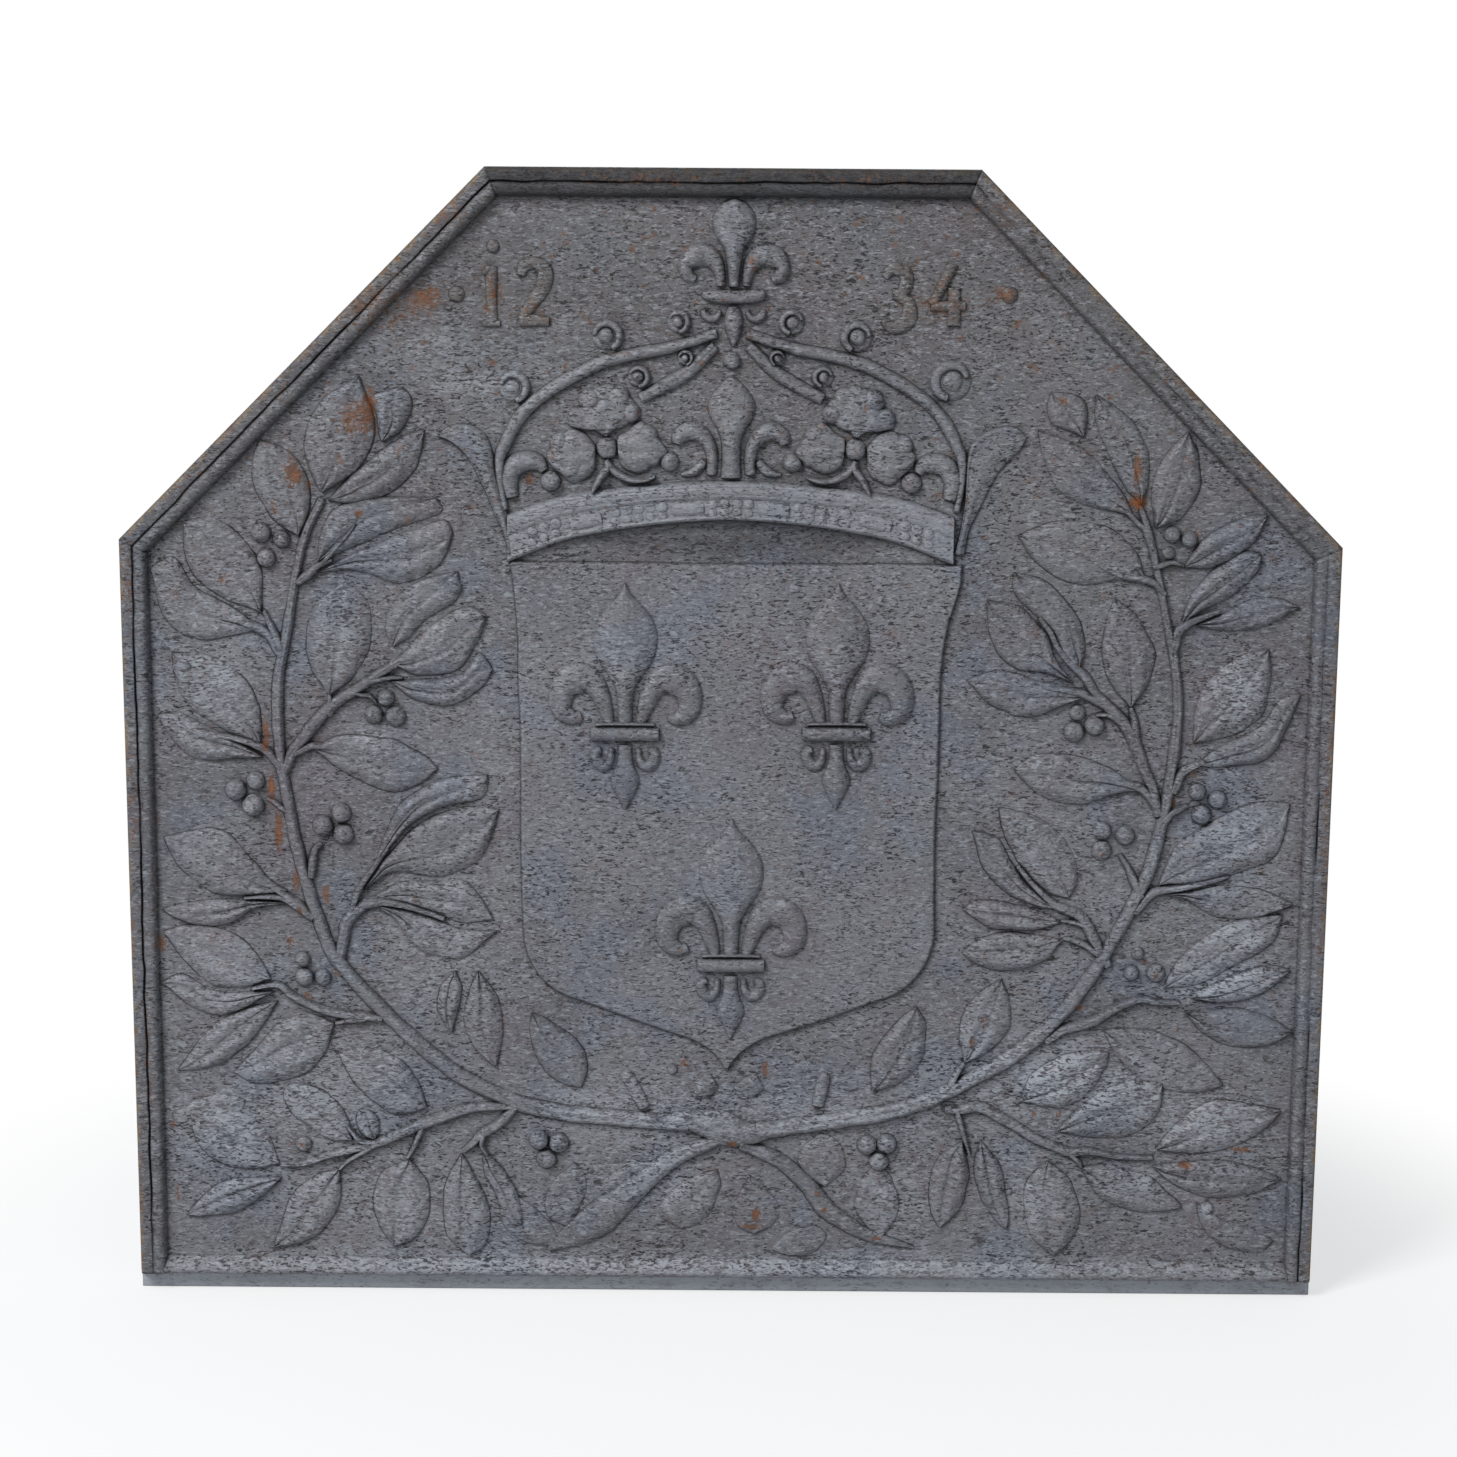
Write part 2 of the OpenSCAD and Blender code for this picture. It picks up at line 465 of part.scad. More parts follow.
module leaves_left_outer() leaves([
    [[-300, 457], [-321, 464], [-340, 477], [-348, 495], [-348, 515], [-328, 517], [-310, 503], [-299, 483]],
    [[-301, 446], [-322, 441], [-342, 439], [-362, 452], [-370, 485], [-355, 492], [-342, 473], [-319, 460]],
    [[-302, 371], [-323, 379], [-344, 392], [-356, 409], [-358, 430], [-335, 429], [-314, 415], [-303, 396]],
    [[-301, 363], [-319, 361], [-343, 361], [-358, 371], [-368, 390], [-356, 392], [-342, 386], [-320, 374]],
    [[-287, 274], [-308, 271], [-335, 272], [-355, 287], [-367, 309], [-333, 315], [-313, 299], [-299, 282]],
    [[-285, 266], [-309, 262], [-328, 251], [-354, 252], [-369, 261], [-355, 265], [-335, 268], [-309, 268]],
    [[-299, 215], [-315, 209], [-336, 210], [-355, 226], [-369, 246], [-347, 251], [-325, 246], [-308, 231]],
    [[-298, 206], [-313, 197], [-335, 190], [-354, 197], [-370, 212], [-356, 217], [-337, 206], [-316, 206]]]);
module leaves_left_inner() leaves([
    [[-257, 403], [-268, 420], [-271, 442], [-265, 463], [-246, 477], [-232, 465], [-230, 440], [-241, 417]],
    [[-216, 435], [-221, 447], [-217, 460], [-202, 476], [-174, 484], [-174, 468], [-193, 454], [-206, 441]],
    [[-217, 425], [-205, 436], [-189, 451], [-169, 462], [-156, 456], [-162, 439], [-174, 421], [-199, 417]],
    [[-218, 413], [-199, 414], [-173, 417], [-161, 431], [-152, 421], [-161, 408], [-181, 397], [-203, 402]],
    [[-269, 369], [-249, 377], [-221, 375], [-199, 366], [-188, 356], [-201, 345], [-221, 341], [-248, 353]],
    [[-230, 290], [-224, 310], [-210, 334], [-187, 348], [-156, 352], [-159, 337], [-187, 330], [-209, 316]],
    [[-237, 275], [-220, 299], [-200, 319], [-171, 331], [-149, 329], [-160, 298], [-186, 284], [-217, 287]],
    [[-234, 269], [-213, 280], [-190, 281], [-169, 280], [-153, 256], [-172, 253], [-193, 260], [-211, 266]],
    [[-231, 265], [-211, 262], [-194, 256], [-172, 249], [-151, 248], [-175, 230], [-202, 235], [-217, 255]],
    [[-163, 221], [-152, 205], [-147, 186], [-149, 169], [-152, 156], [-164, 166], [-172, 183], [-170, 205]],
    [[-178, 221], [-174, 210], [-175, 199], [-178, 187], [-181, 179], [-187, 187], [-190, 196], [-188, 210]],
    [[-128, 193], [-113, 185], [-98, 174], [-92, 156], [-96, 142], [-110, 146], [-122, 158], [-129, 177]]]);
module leaves_left_low() leaves([
    [[-295, 200], [-302, 188], [-315, 170], [-337, 155], [-362, 152], [-350, 168], [-334, 186], [-313, 195]],
    [[-258, 185], [-266, 163], [-282, 149], [-309, 143], [-325, 151], [-310, 167], [-294, 185], [-274, 190]],
    [[-198, 128], [-218, 122], [-235, 133], [-248, 148], [-256, 166], [-237, 168], [-218, 161], [-205, 148]],
    [[-247, 105], [-264, 105], [-283, 119], [-292, 131], [-292, 143], [-275, 142], [-260, 134], [-250, 120]],
    [[-232, 106], [-240, 108], [-244, 116], [-244, 122], [-243, 126], [-236, 125], [-230, 119], [-230, 111]],
    [[-296, 89], [-319, 84], [-340, 91], [-352, 106], [-355, 124], [-335, 127], [-315, 121], [-302, 107]],
    [[-295, 79], [-306, 67], [-326, 55], [-345, 51], [-358, 52], [-350, 63], [-335, 74], [-314, 78]],
    [[-256, 85], [-256, 65], [-265, 45], [-281, 33], [-301, 30], [-296, 47], [-289, 65], [-274, 79]],
    [[-210, 92], [-198, 74], [-197, 54], [-206, 38], [-221, 31], [-231, 46], [-234, 64], [-227, 83]],
    [[-175, 96], [-165, 78], [-157, 56], [-160, 34], [-171, 25], [-186, 40], [-188, 64], [-183, 83]],
    [[-161, 98], [-150, 88], [-140, 72], [-135, 56], [-135, 47], [-145, 49], [-152, 65], [-160, 83]]]);
module leaves_right_top() leaves([
    [[256, 523], [231, 528], [210, 537], [198, 557], [194, 576], [219, 568], [236, 553], [249, 536]],
    [[223, 572], [215, 576], [204, 580], [200, 589], [201, 600], [216, 599], [224, 591], [224, 579]],
    [[260, 530], [250, 541], [239, 560], [230, 582], [230, 599], [249, 587], [263, 566], [265, 545]],
    [[270, 515], [267, 532], [269, 548], [277, 564], [289, 576], [296, 560], [297, 540], [286, 522]],
    [[265, 481], [249, 482], [225, 478], [199, 489], [183, 509], [207, 519], [240, 515], [259, 499]],
    [[289, 490], [300, 507], [315, 517], [331, 523], [341, 524], [335, 509], [323, 498], [308, 490]],
    [[289, 454], [294, 472], [308, 488], [326, 500], [338, 499], [336, 488], [322, 473], [303, 462]],
    [[298, 453], [313, 460], [330, 469], [347, 471], [364, 465], [348, 455], [330, 449], [313, 450]]]);
module leaves_right_outer() leaves([
    [[299, 376], [300, 401], [310, 420], [327, 433], [345, 438], [348, 418], [341, 393], [320, 380]],
    [[299, 361], [318, 375], [341, 387], [354, 404], [367, 409], [360, 388], [347, 367], [322, 361]],
    [[280, 282], [291, 308], [314, 325], [339, 337], [363, 337], [356, 304], [331, 290], [304, 283]],
    [[278, 276], [300, 278], [325, 282], [350, 278], [368, 270], [344, 260], [315, 262], [298, 273]],
    [[285, 213], [297, 234], [316, 251], [339, 261], [361, 263], [356, 244], [333, 229], [309, 216]],
    [[303, 207], [312, 213], [336, 224], [353, 228], [368, 226], [360, 217], [347, 208], [325, 203]],
    [[300, 197], [319, 199], [342, 198], [360, 191], [371, 184], [359, 176], [339, 173], [314, 181]]]);
module leaves_right_inner() leaves([
    [[224, 423], [213, 433], [205, 450], [183, 470], [181, 486], [203, 479], [220, 460], [227, 439]],
    [[221, 415], [203, 421], [181, 425], [167, 444], [164, 468], [183, 464], [202, 448], [210, 430]],
    [[229, 406], [214, 400], [192, 392], [169, 400], [152, 416], [172, 422], [197, 417], [220, 410]],
    [[258, 399], [244, 416], [239, 438], [241, 457], [246, 470], [260, 458], [272, 436], [270, 417]],
    [[265, 345], [249, 342], [226, 335], [201, 341], [184, 358], [200, 368], [228, 366], [252, 355]],
    [[222, 273], [205, 278], [189, 296], [178, 317], [175, 333], [200, 326], [220, 310], [227, 288]],
    [[220, 266], [201, 267], [179, 278], [165, 295], [158, 317], [175, 312], [186, 293], [204, 274]],
    [[217, 257], [204, 253], [187, 251], [168, 254], [153, 265], [164, 270], [185, 269], [206, 263]],
    [[218, 245], [209, 232], [186, 224], [164, 227], [153, 236], [165, 245], [183, 249], [201, 248]],
    [[96, 141], [95, 159], [102, 176], [113, 190], [124, 199], [130, 186], [129, 165], [116, 148]],
    [[156, 161], [153, 179], [156, 196], [167, 210], [179, 218], [185, 204], [185, 185], [173, 170]]]);
module leaves_right_low() leaves([
    [[247, 184], [269, 185], [295, 178], [315, 162], [327, 147], [310, 142], [282, 146], [260, 161]],
    [[193, 135], [201, 153], [219, 166], [239, 170], [251, 169], [248, 157], [237, 139], [218, 131]],
    [[218, 115], [239, 137], [259, 147], [276, 150], [287, 149], [285, 128], [268, 113], [243, 110]],
    [[284, 103], [297, 120], [320, 136], [346, 134], [366, 130], [356, 118], [338, 106], [310, 100]],
    [[282, 91], [300, 94], [327, 95], [352, 89], [368, 83], [348, 72], [322, 69], [299, 77]],
    [[235, 90], [257, 91], [280, 83], [295, 71], [303, 63], [288, 59], [267, 61], [248, 69]],
    [[213, 94], [228, 80], [235, 58], [229, 38], [218, 28], [204, 40], [198, 60], [200, 80]],
    [[156, 107], [160, 93], [159, 69], [151, 55], [142, 47], [136, 59], [135, 78], [141, 96]],
    [[168, 108], [180, 93], [186, 71], [188, 55], [186, 46], [176, 56], [167, 75], [165, 93]]]);

// berries stand in threes: middle of the three, then each one's place from there and its size, both in
// hundredths of a berry
module berries(list) color(iron_light) for (c = list, b = c[1])
    boss(put(c[0]) + berry_d / 100 * [b[0], b[1]], berry_d / 100 * b[2], berry_d / 200 * b[2]);
module berries_left() berries([
    [[-294, 501], [[-38, 54, 96], [62, 23, 85], [-15, -69, 92]]],
    [[-222, 394], [[8, 62, 85], [-54, -23, 92], [54, -31, 100]]],
    [[-311, 340], [[38, 54, 92], [-62, 8, 108], [23, -69, 112]]],
    [[-255, 318], [[31, 62, 96], [-62, -4, 104], [38, -46, 104]]],
    [[-273, 220], [[-38, 62, 77], [-31, -31, 92], [62, -31, 85]]],
    [[-118, 101], [[-46, 38, 100], [54, 23, 100], [-8, -62, 100]]]]);
module berries_right() berries([
    [[284, 506], [[-23, 38, 81], [62, 15, 81], [-38, -54, 65]]],
    [[227, 389], [[-23, 50, 81], [-38, -46, 100], [62, -12, 100]]],
    [[308, 337], [[-38, 54, 85], [62, 15, 92], [-15, -62, 96]]],
    [[247, 313], [[-38, 38, 92], [77, 15, 96], [-38, -62, 100]]],
    [[271, 227], [[-23, 69, 62], [-54, -31, 77], [69, -31, 92]]],
    [[100, 101], [[46, 31, 100], [-54, 23, 100], [8, -62, 100]]]]);

// ---- where the branches cross ----

module knot() color(iron_light) {
    carved([form(puts([[-20, 124], [-12, 121], [4, 114], [12, 107]]),
        shares([14, 20, 22, 15], square([0, 115])), shares([0.9, 1.35, 1.35, 0.9], stem_rise))]);
    for (x = [-15, 15]) boss(put([x, 143]), 14 * square([x, 143]), leaf_rise);
}
module stem_end_left() color(iron_light)
    carved([form(puts(through([[-14, 106], [-33, 97], [-55, 78], [-80, 56], [-116, 32]], 2)),
        shares([9, 12, 16, 16, 10, 2], square([-55, 78])), shares([0.9, 0.9, 0.8, 0.35], stem_rise))]);
module stem_end_right() color(iron_light)
    carved([form(puts(through([[16, 100], [36, 93], [56, 76], [72, 58], [95, 43], [125, 33]], 2)),
        shares([8, 9, 10, 12, 8, 2], square([56, 76])), shares([0.9, 0.9, 0.8, 0.35], stem_rise))]);
stubs = [[[-54, 129], [-60, 140], [-65, 150]], [[60, 131], [62, 141], [64, 149]]];
module stem_stubs() color(iron_light) carved([for (p = stubs)
    form(puts(p), shares([8, 9, 8], square(p[1])), shares([0.55, 0.75, 0.55], stem_rise))]);

back_plate();
foot_strip();
rim_top();
rim_slope_left();
rim_slope_right();
rim_side_left();
rim_side_right();
rim_sill();
shield_field();
shield_horn_left();
shield_horn_right();
shield_lily_left();
shield_lily_right();
shield_lily_bottom();
crown_circlet();
crown_pearls();
crown_lily_centre();
crown_lily_top();
crown_flower_left();
crown_flower_right();
crown_curl_left();
crown_curl_right();
crown_arch_outer();
crown_arch_inner();
crown_scrolls();
laurel_stem_left();
laurel_stem_right();
laurel_twigs_left();
laurel_twigs_right();
leaves_left_top();
leaves_left_outer();
leaves_left_inner();
leaves_left_low();
leaves_right_top();
leaves_right_outer();
leaves_right_inner();
leaves_right_low();
berries_left();
berries_right();
knot();
stem_end_left();
stem_end_right();
stem_stubs();
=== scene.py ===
import bpy
import math
import numpy as np
from mathutils import Matrix


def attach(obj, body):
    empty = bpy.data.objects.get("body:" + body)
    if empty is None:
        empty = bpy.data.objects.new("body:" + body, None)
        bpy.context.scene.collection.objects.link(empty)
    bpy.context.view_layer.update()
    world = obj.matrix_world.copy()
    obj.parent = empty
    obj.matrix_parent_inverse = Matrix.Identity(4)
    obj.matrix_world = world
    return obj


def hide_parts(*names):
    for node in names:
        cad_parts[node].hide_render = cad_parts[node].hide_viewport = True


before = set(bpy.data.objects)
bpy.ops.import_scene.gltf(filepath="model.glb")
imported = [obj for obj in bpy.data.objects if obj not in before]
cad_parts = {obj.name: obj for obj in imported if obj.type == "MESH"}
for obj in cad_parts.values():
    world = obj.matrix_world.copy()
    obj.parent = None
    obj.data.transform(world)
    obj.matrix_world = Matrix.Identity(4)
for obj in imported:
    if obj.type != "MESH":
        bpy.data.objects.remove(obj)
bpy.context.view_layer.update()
print("frame loaded,", len(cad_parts), "carved patterns")

# Sand-cast iron fireback. Sizes are millimetres in the CAD frame: x across, z up, the carved front faces
# -y. Paths and outlines are flat lists of x and z in turn.
plate = dict(wide=780, high=726, thick=20, cornerCut=235, footHigh=12, footSetBack=3)
half = plate["wide"] / 2
topZ = plate["footHigh"] + plate["high"]
footThick = plate["thick"] - plate["footSetBack"]
backY = footThick / 2
groundY = backY - plate["thick"]
relief = dict(
    sink=1.6,             # how far the skirt of a form dips into what it stands on
    brim=0.7,             # narrow brim of a form, lying on its base
    splay=0.3,            # the skirt's end lies this much further out
    film=0.02,            # thickness of the brim's edge
    step=0.1,             # a form's surface starts this high
    wobble=13,            # length of the uneven places along an edge
    ease=8)               # forms narrower than this waver less


# value noise from -1 to 1: a random number at each corner of a square lattice, blended smoothly inside each
# square
def castNoise(x, z, size, seed=0):
    x, z = np.asarray(x, float) / size + 137.3 * seed, np.asarray(z, float) / size + 71.9 * seed
    ix, iz = np.floor(x), np.floor(z)
    fx, fz = x - ix, z - iz
    fx, fz = fx * fx * (3 - 2 * fx), fz * fz * (3 - 2 * fz)

    def lattice(a, b):
        value = np.sin(a * 127.1 + b * 311.7 + seed * 17.3) * 43758.5453
        return 2 * (value - np.floor(value)) - 1
    low = lattice(ix, iz) * (1 - fx) + lattice(ix + 1, iz) * fx
    high = lattice(ix, iz + 1) * (1 - fx) + lattice(ix + 1, iz + 1) * fx
    return low * (1 - fz) + high * fz


# three sizes of the noise above, each half as large and half as strong as the one before
def roughness(x, z, size, seed=0):
    return (castNoise(x, z, size, seed) + 0.5 * castNoise(x, z, size / 2, seed + 1)
            + 0.25 * castNoise(x, z, size / 4, seed + 2)) / 1.75


# a flat list of numbers, or points as they are, as rows of x and z
def pairs(numbers):
    return np.reshape(np.asarray(numbers, float), (-1, 2))


# Catmull-Rom curve through the points, at count even steps of its parameter; works on numbers and on points
def smoothThrough(points, count):
    p = np.asarray(points, float)
    s = np.linspace(0, len(p) - 1, count)
    i = np.minimum(s.astype(int), len(p) - 2)
    t = s - i
    if p.ndim > 1:
        t = t[:, None]
    a, b, c, d = p[np.maximum(i - 1, 0)], p[i], p[i + 1], p[np.minimum(i + 2, len(p) - 1)]
    return 0.5 * (2 * b + (c - a) * t + (2 * a - 5 * b + 4 * c - d) * t ** 2
                  + (3 * b - a - 3 * c + d) * t ** 3)


# points on a circle whose radius goes evenly from r0 to r1 while its angle goes from a0 to a1 degrees
def coil(centre, r0, r1, a0, a1, count=40):
    a, r = np.radians(np.linspace(a0, a1, count)), np.linspace(r0, r1, count)
    return np.stack([centre[0] + r * np.cos(a), centre[1] + r * np.sin(a)], axis=1)


# Every section gives a height of about 0 to 1: t runs across from -1 at the right edge to 1 at the left
# one, and u along the form from 0 to 1. This one is an even round back with steep sides.
def roundBack(t, u):
    return np.clip(1 - np.abs(t) ** 2.4, 0, 1) ** 0.55


# an old branch: a round back flattened along two long facets, the upper one broader
def stemBack(t, u):
    facet = 0.1 * np.exp(-((t - 0.45) / 0.22) ** 2) - 0.12 * np.exp(-((t + 0.12) / 0.16) ** 2)
    return np.clip(1 - np.abs(t) ** 2.6, 0, 1) ** 0.6 * (0.95 + facet * (0.6 + 0.4 * np.sin(9 * u)))


# a smooth bulge without any ridge
def bulgeBack(t, u):
    return np.clip(1 - t * t, 0, 1) ** 0.62


# quads between neighbouring rows of a grid whose rows are closed loops
def loopQuads(rows, cols):
    i, j = np.meshgrid(np.arange(rows - 1), np.arange(cols), indexing="ij")
    k = (j + 1) % cols
    corners = [i * cols + j, (i + 1) * cols + j, (i + 1) * cols + k, i * cols + k]
    return np.stack(corners, axis=-1).reshape(-1, 4)


# grid of rows by columns, each row a closed loop, with one flat face at either end
def loopShell(grid):
    rows, cols = grid.shape[:2]
    ends = np.array([np.arange(cols), (rows - 1) * cols + np.arange(cols)[::-1]])
    return grid.reshape(-1, 3), [loopQuads(rows, cols), ends]


# rings from the skirt up to one point, with a flat face below; clockwise as the rings run seen from the
# front
def domeShell(grid, top, clockwise):
    rows, cols = grid.shape[:2]
    quads, j = loopQuads(rows, cols), np.arange(cols)
    last, tip = (rows - 1) * cols, rows * cols
    crown = np.stack([last + (j + 1) % cols, last + j, 0 * j + tip], axis=-1)
    points = np.concatenate([grid.reshape(-1, 3), [top]])
    if clockwise:
        return points, [quads, crown, j[None, :]]
    return points, [quads[:, [0, 3, 2, 1]], crown[:, [1, 0, 2]], j[None, ::-1]]


# a form between two edges: at every step the section is stretched from the right edge to the left one and
# raised to the height given there, with fine roughness; a brim runs out onto the base and a skirt dips into
# it
def sheet(left, right, rises, section=roundBack, across=17, base=groundY, rough=0.25, grit=9, edge=0.0):
    steps = len(left)
    u = np.linspace(0, 1, steps)[:, None]
    t = np.sin(np.linspace(-math.pi / 2, math.pi / 2, across))[None, :]
    reach = left - right
    span = np.linalg.norm(reach, axis=1)[:, None] + 1e-6
    side = reach / span
    if edge:
        ends = np.clip(span[:, 0] / relief["ease"], 0, 1)
        waver = [edge * roughness(line[:, 0], line[:, 1], relief["wobble"], seed) * ends
                 for line, seed in ((left, 5), (right, 6))]
        left, right = left + side * waver[0][:, None], right - side * waver[1][:, None]
    high = np.maximum(smoothThrough(rises, steps)[:, None], 0.05)
    x, z = ((right[:, k:k + 1] * (1 - t) + left[:, k:k + 1] * (1 + t)) / 2 for k in (0, 1))
    lift = high * section(t + 0 * u, u + 0 * t)
    lift = lift + rough * roughness(x, z, grit, 3) * np.clip(4 * (1 - np.abs(t)), 0, 1)
    y = base - np.maximum(lift, 0.0) - relief["step"]

    def rim(at, out, level):
        out = side * out
        return np.stack([at[:, 0] + out[:, 0], 0 * u[:, 0] + level, at[:, 1] + out[:, 1]], axis=-1)[:, None]
    near, far = relief["brim"], relief["brim"] + relief["splay"]
    top, bottom = base - relief["film"], base + relief["sink"]
    face = np.stack([x, y, z], axis=-1)
    start = [rim(right, -far, bottom), rim(right, -near, top)]
    end = [rim(left, near, top), rim(left, far, bottom)]
    return loopShell(np.concatenate(start + [face] + end, axis=1))


# a form along a path: its two edges lie half its width to either side of the path; widths and heights are
# read at the same share of the list as the path's points
def ribbon(path, widths, rises, section=roundBack, steps=40, across=17, **more):
    line = smoothThrough(pairs(path), steps)
    way = np.gradient(line, axis=0)
    way /= np.linalg.norm(way, axis=1)[:, None] + 1e-9
    wide = np.maximum(smoothThrough(widths, steps), 0.3)[:, None]
    side = np.stack([-way[:, 1], way[:, 0]], axis=1) * wide / 2
    return sheet(line + side, line - side, rises, section, across, **more)


# a form inside an outline of eight points: foot, three points of its left edge, tip, three points of its
# right edge
def blade(outline, rises, section, steps, across, **more):
    p = pairs(outline)
    left, right = smoothThrough(p[[0, 1, 2, 3, 4]], steps), smoothThrough(p[[0, 7, 6, 5, 4]], steps)
    return sheet(left, right, rises, section, across, **more)


# a round boss: rings from the skirt to the crown, height = rise * (1 - r^2.4)^0.55, made uneven by a fifth
# of it
def boss(at, wide, rise, base=groundY, rings=9, around=28):
    r = np.cos(np.linspace(0, math.pi / 2, rings))[:-1]
    a = np.linspace(0, 2 * math.pi, around, endpoint=False)[None, :]
    ringR = np.concatenate([[1 + 1.6 / wide, 1 + 1.0 / wide], r])[:, None]
    dome = -rise * roundBack(r, 0) - relief["step"]
    ringY = np.concatenate([[relief["sink"], -relief["film"]], dome])[:, None]
    x, z = at[0] + wide / 2 * ringR * np.cos(a), at[1] + wide / 2 * ringR * np.sin(a)
    y = base + ringY - 0.2 * rise * castNoise(x, z, 0.5 * wide, 2) * (ringR < 0.95)
    return domeShell(np.stack([x, y, z], axis=-1), [at[0], base - rise, at[1]], False)


# Marks of age, each x, z, half width and half height in mm, and strength.
# places where water stood
rustPlaces = [
    (-299, 377, 2.3, 13, 1.0), (-296, 343, 2.8, 9, 1.0), (-292, 313, 2.4, 15, 1.1),
    (-281, 281, 2.5, 9, 0.9), (-279, 260, 2.5, 7, 0.7), (-286, 238, 3, 7, 0.6), (-262, 271, 3, 8, 0.9),
    (-370, 238, 3, 6, 0.9), (-256, 220, 3, 5, 0.5), (-275, 203, 4, 3, 0.6), (-366, 115, 4, 4, 0.5),
    (-364, 67, 2.5, 9, 0.5), (-343, 135, 5, 3, 0.4), (-289, 103, 4, 3, 0.5), (-323, 478, 6, 5, 0.5),
    (-357, 467, 5, 4, 0.4), (-238, 582, 14, 16, 0.6), (-228, 590, 4, 14, 0.5), (-279, 548, 5, 16, 0.5),
    (-275, 545, 4, 6, 0.6), (-290, 524, 3, 7, 0.6), (-268, 538, 3, 6, 0.5), (-236, 521, 4, 4, 0.7),
    (259, 531, 7, 5, 1.0), (257, 553, 3, 14, 0.8), (209, 595, 5, 4, 0.6), (194, 447, 6, 6, 0.35),
    (290, 559, 4, 5, 0.5), (297, 512, 3, 6, 0.4), (207, 429, 5, 3, 0.4), (226, 427, 3, 3, 0.5),
    (301, 356, 3, 4, 0.7), (288, 338, 2.5, 5, 0.7), (242, 303, 3, 3, 0.5), (273, 230, 2.5, 4, 0.7),
    (280, 222, 2.5, 3, 0.6), (161, 175, 2.5, 5, 0.7), (168, 189, 2.5, 8, 0.5), (231, 199, 4, 2.5, 0.8),
    (203, 126, 2.5, 3, 0.8), (219, 126, 2.5, 3, 0.8), (253, 110, 3, 2.5, 0.5), (304, 92, 5, 2, 0.9),
    (341, 103, 9, 2.5, 0.9), (4, 105, 4, 3, 0.9), (20, 56, 2.5, 5, 0.9), (-28, 159, 4, 3, 0.8),
    (25, 156, 3, 6, 0.7), (60, 71, 3, 3, 0.6), (66, 60, 3, 2.5, 0.6), (16, 47, 9, 2, 0.5),
    (-128, 543, 3, 4, 0.8), (-280, 102, 4, 3, 0.6), (372, 300, 2, 40, 0.3), (-374, 300, 2, 60, 0.3),
    (100, 40, 5, 2, 0.8), (-150, 660, 9, 18, 0.45), (-125, 650, 12, 12, 0.35), (-192, 657, 10, 8, 0.6),
    (128, 655, 42, 16, 0.35), (172, 661, 9, 6, 0.5), (-205, 640, 30, 25, 0.2), (-384, 480, 6, 40, 0.4),
    (-384, 330, 5, 70, 0.35), (-380, 160, 6, 80, 0.35), (-345, 545, 24, 24, 0.3), (-290, 600, 26, 26, 0.3),
    (-235, 655, 26, 26, 0.35), (-180, 712, 24, 22, 0.4), (-60, 731, 70, 6, 0.35), (90, 731, 60, 6, 0.3),
    (170, 712, 22, 20, 0.3), (386, 300, 3, 160, 0.4), (0, 50, 80, 10, 0.2), (150, 192, 6, 10, 0.3)]
# places that are rubbed pale or dusted white
palePlaces = [
    (-330, 110, 60, 50, 0.5), (-255, 140, 55, 40, 0.5), (-70, 128, 60, 22, 0.7), (60, 128, 60, 20, 0.6),
    (-40, 84, 40, 26, 0.5), (180, 150, 60, 40, 0.6), (240, 150, 50, 22, 0.6), (315, 122, 46, 24, 0.65),
    (330, 222, 36, 13, 0.9), (300, 212, 20, 8, 0.5), (110, 70, 30, 34, 0.5), (200, 70, 24, 34, 0.5),
    (0, 22, 400, 7, 0.7), (270, 78, 34, 14, 0.5), (-200, 60, 90, 34, 0.4), (-345, 385, 34, 30, 0.25),
    (-330, 215, 40, 30, 0.4), (-190, 240, 50, 40, 0.35), (200, 300, 40, 60, 0.3), (-67, 425, 30, 22, 0.35),
    (69, 425, 30, 22, 0.35), (2, 275, 24, 20, 0.4), (-320, 440, 40, 40, 0.25), (320, 60, 5, 5, 1.0),
    (310, 290, 50, 30, 0.25), (-120, 610, 60, 30, 0.2), (-190, 625, 24, 13, 0.6), (-165, 603, 26, 7, 0.6),
    (0, 729, 230, 8, 0.3), (325, 410, 16, 22, 0.8), (308, 361, 14, 5, 0.6), (335, 316, 24, 12, 0.65),
    (300, 280, 12, 5, 0.6), (335, 248, 22, 9, 0.8), (-250, 437, 12, 16, 0.5), (-231, 379, 16, 6, 0.6),
    (-327, 415, 14, 14, 0.4)]
# dark places on what is level with the ground: those under the circlet are a painted shadow, the two small
# deep ones black holes, the others darker patches
shadowAndSootPlaces = [
    (-190, 660, 110, 70, 0.24), (-330, 300, 60, 260, 0.15), (0, 504, 88, 12, 0.68), (0, 517, 60, 4, 0.35),
    (-75, 505, 26, 5, 0.35), (75, 505, 26, 5, 0.35), (169, 38, 3, 3, 1.2), (-10, 134, 2.2, 2.2, 1.2),
    (-128, 544, 5, 6, 0.5), (-27, 552, 5, 5, 0.4), (27, 552, 5, 5, 0.4)]
# mm in y: marks of age stay on the front, the dark places lie on the ground and the painted shade of creases
# on their base
markDeep = dict(front=3, ground=1, crease=0.6)


# sum of soft ellipses: each strength times e to minus the squared distance in its half sizes
def marked(points, places):
    total = np.zeros(len(points))
    for x, z, wide, high, strength in places:
        total += strength * np.exp(-((points[:, 0] - x) / wide) ** 2 - ((points[:, 2] - z) / high) ** 2)
    return np.minimum(total, 1.2)
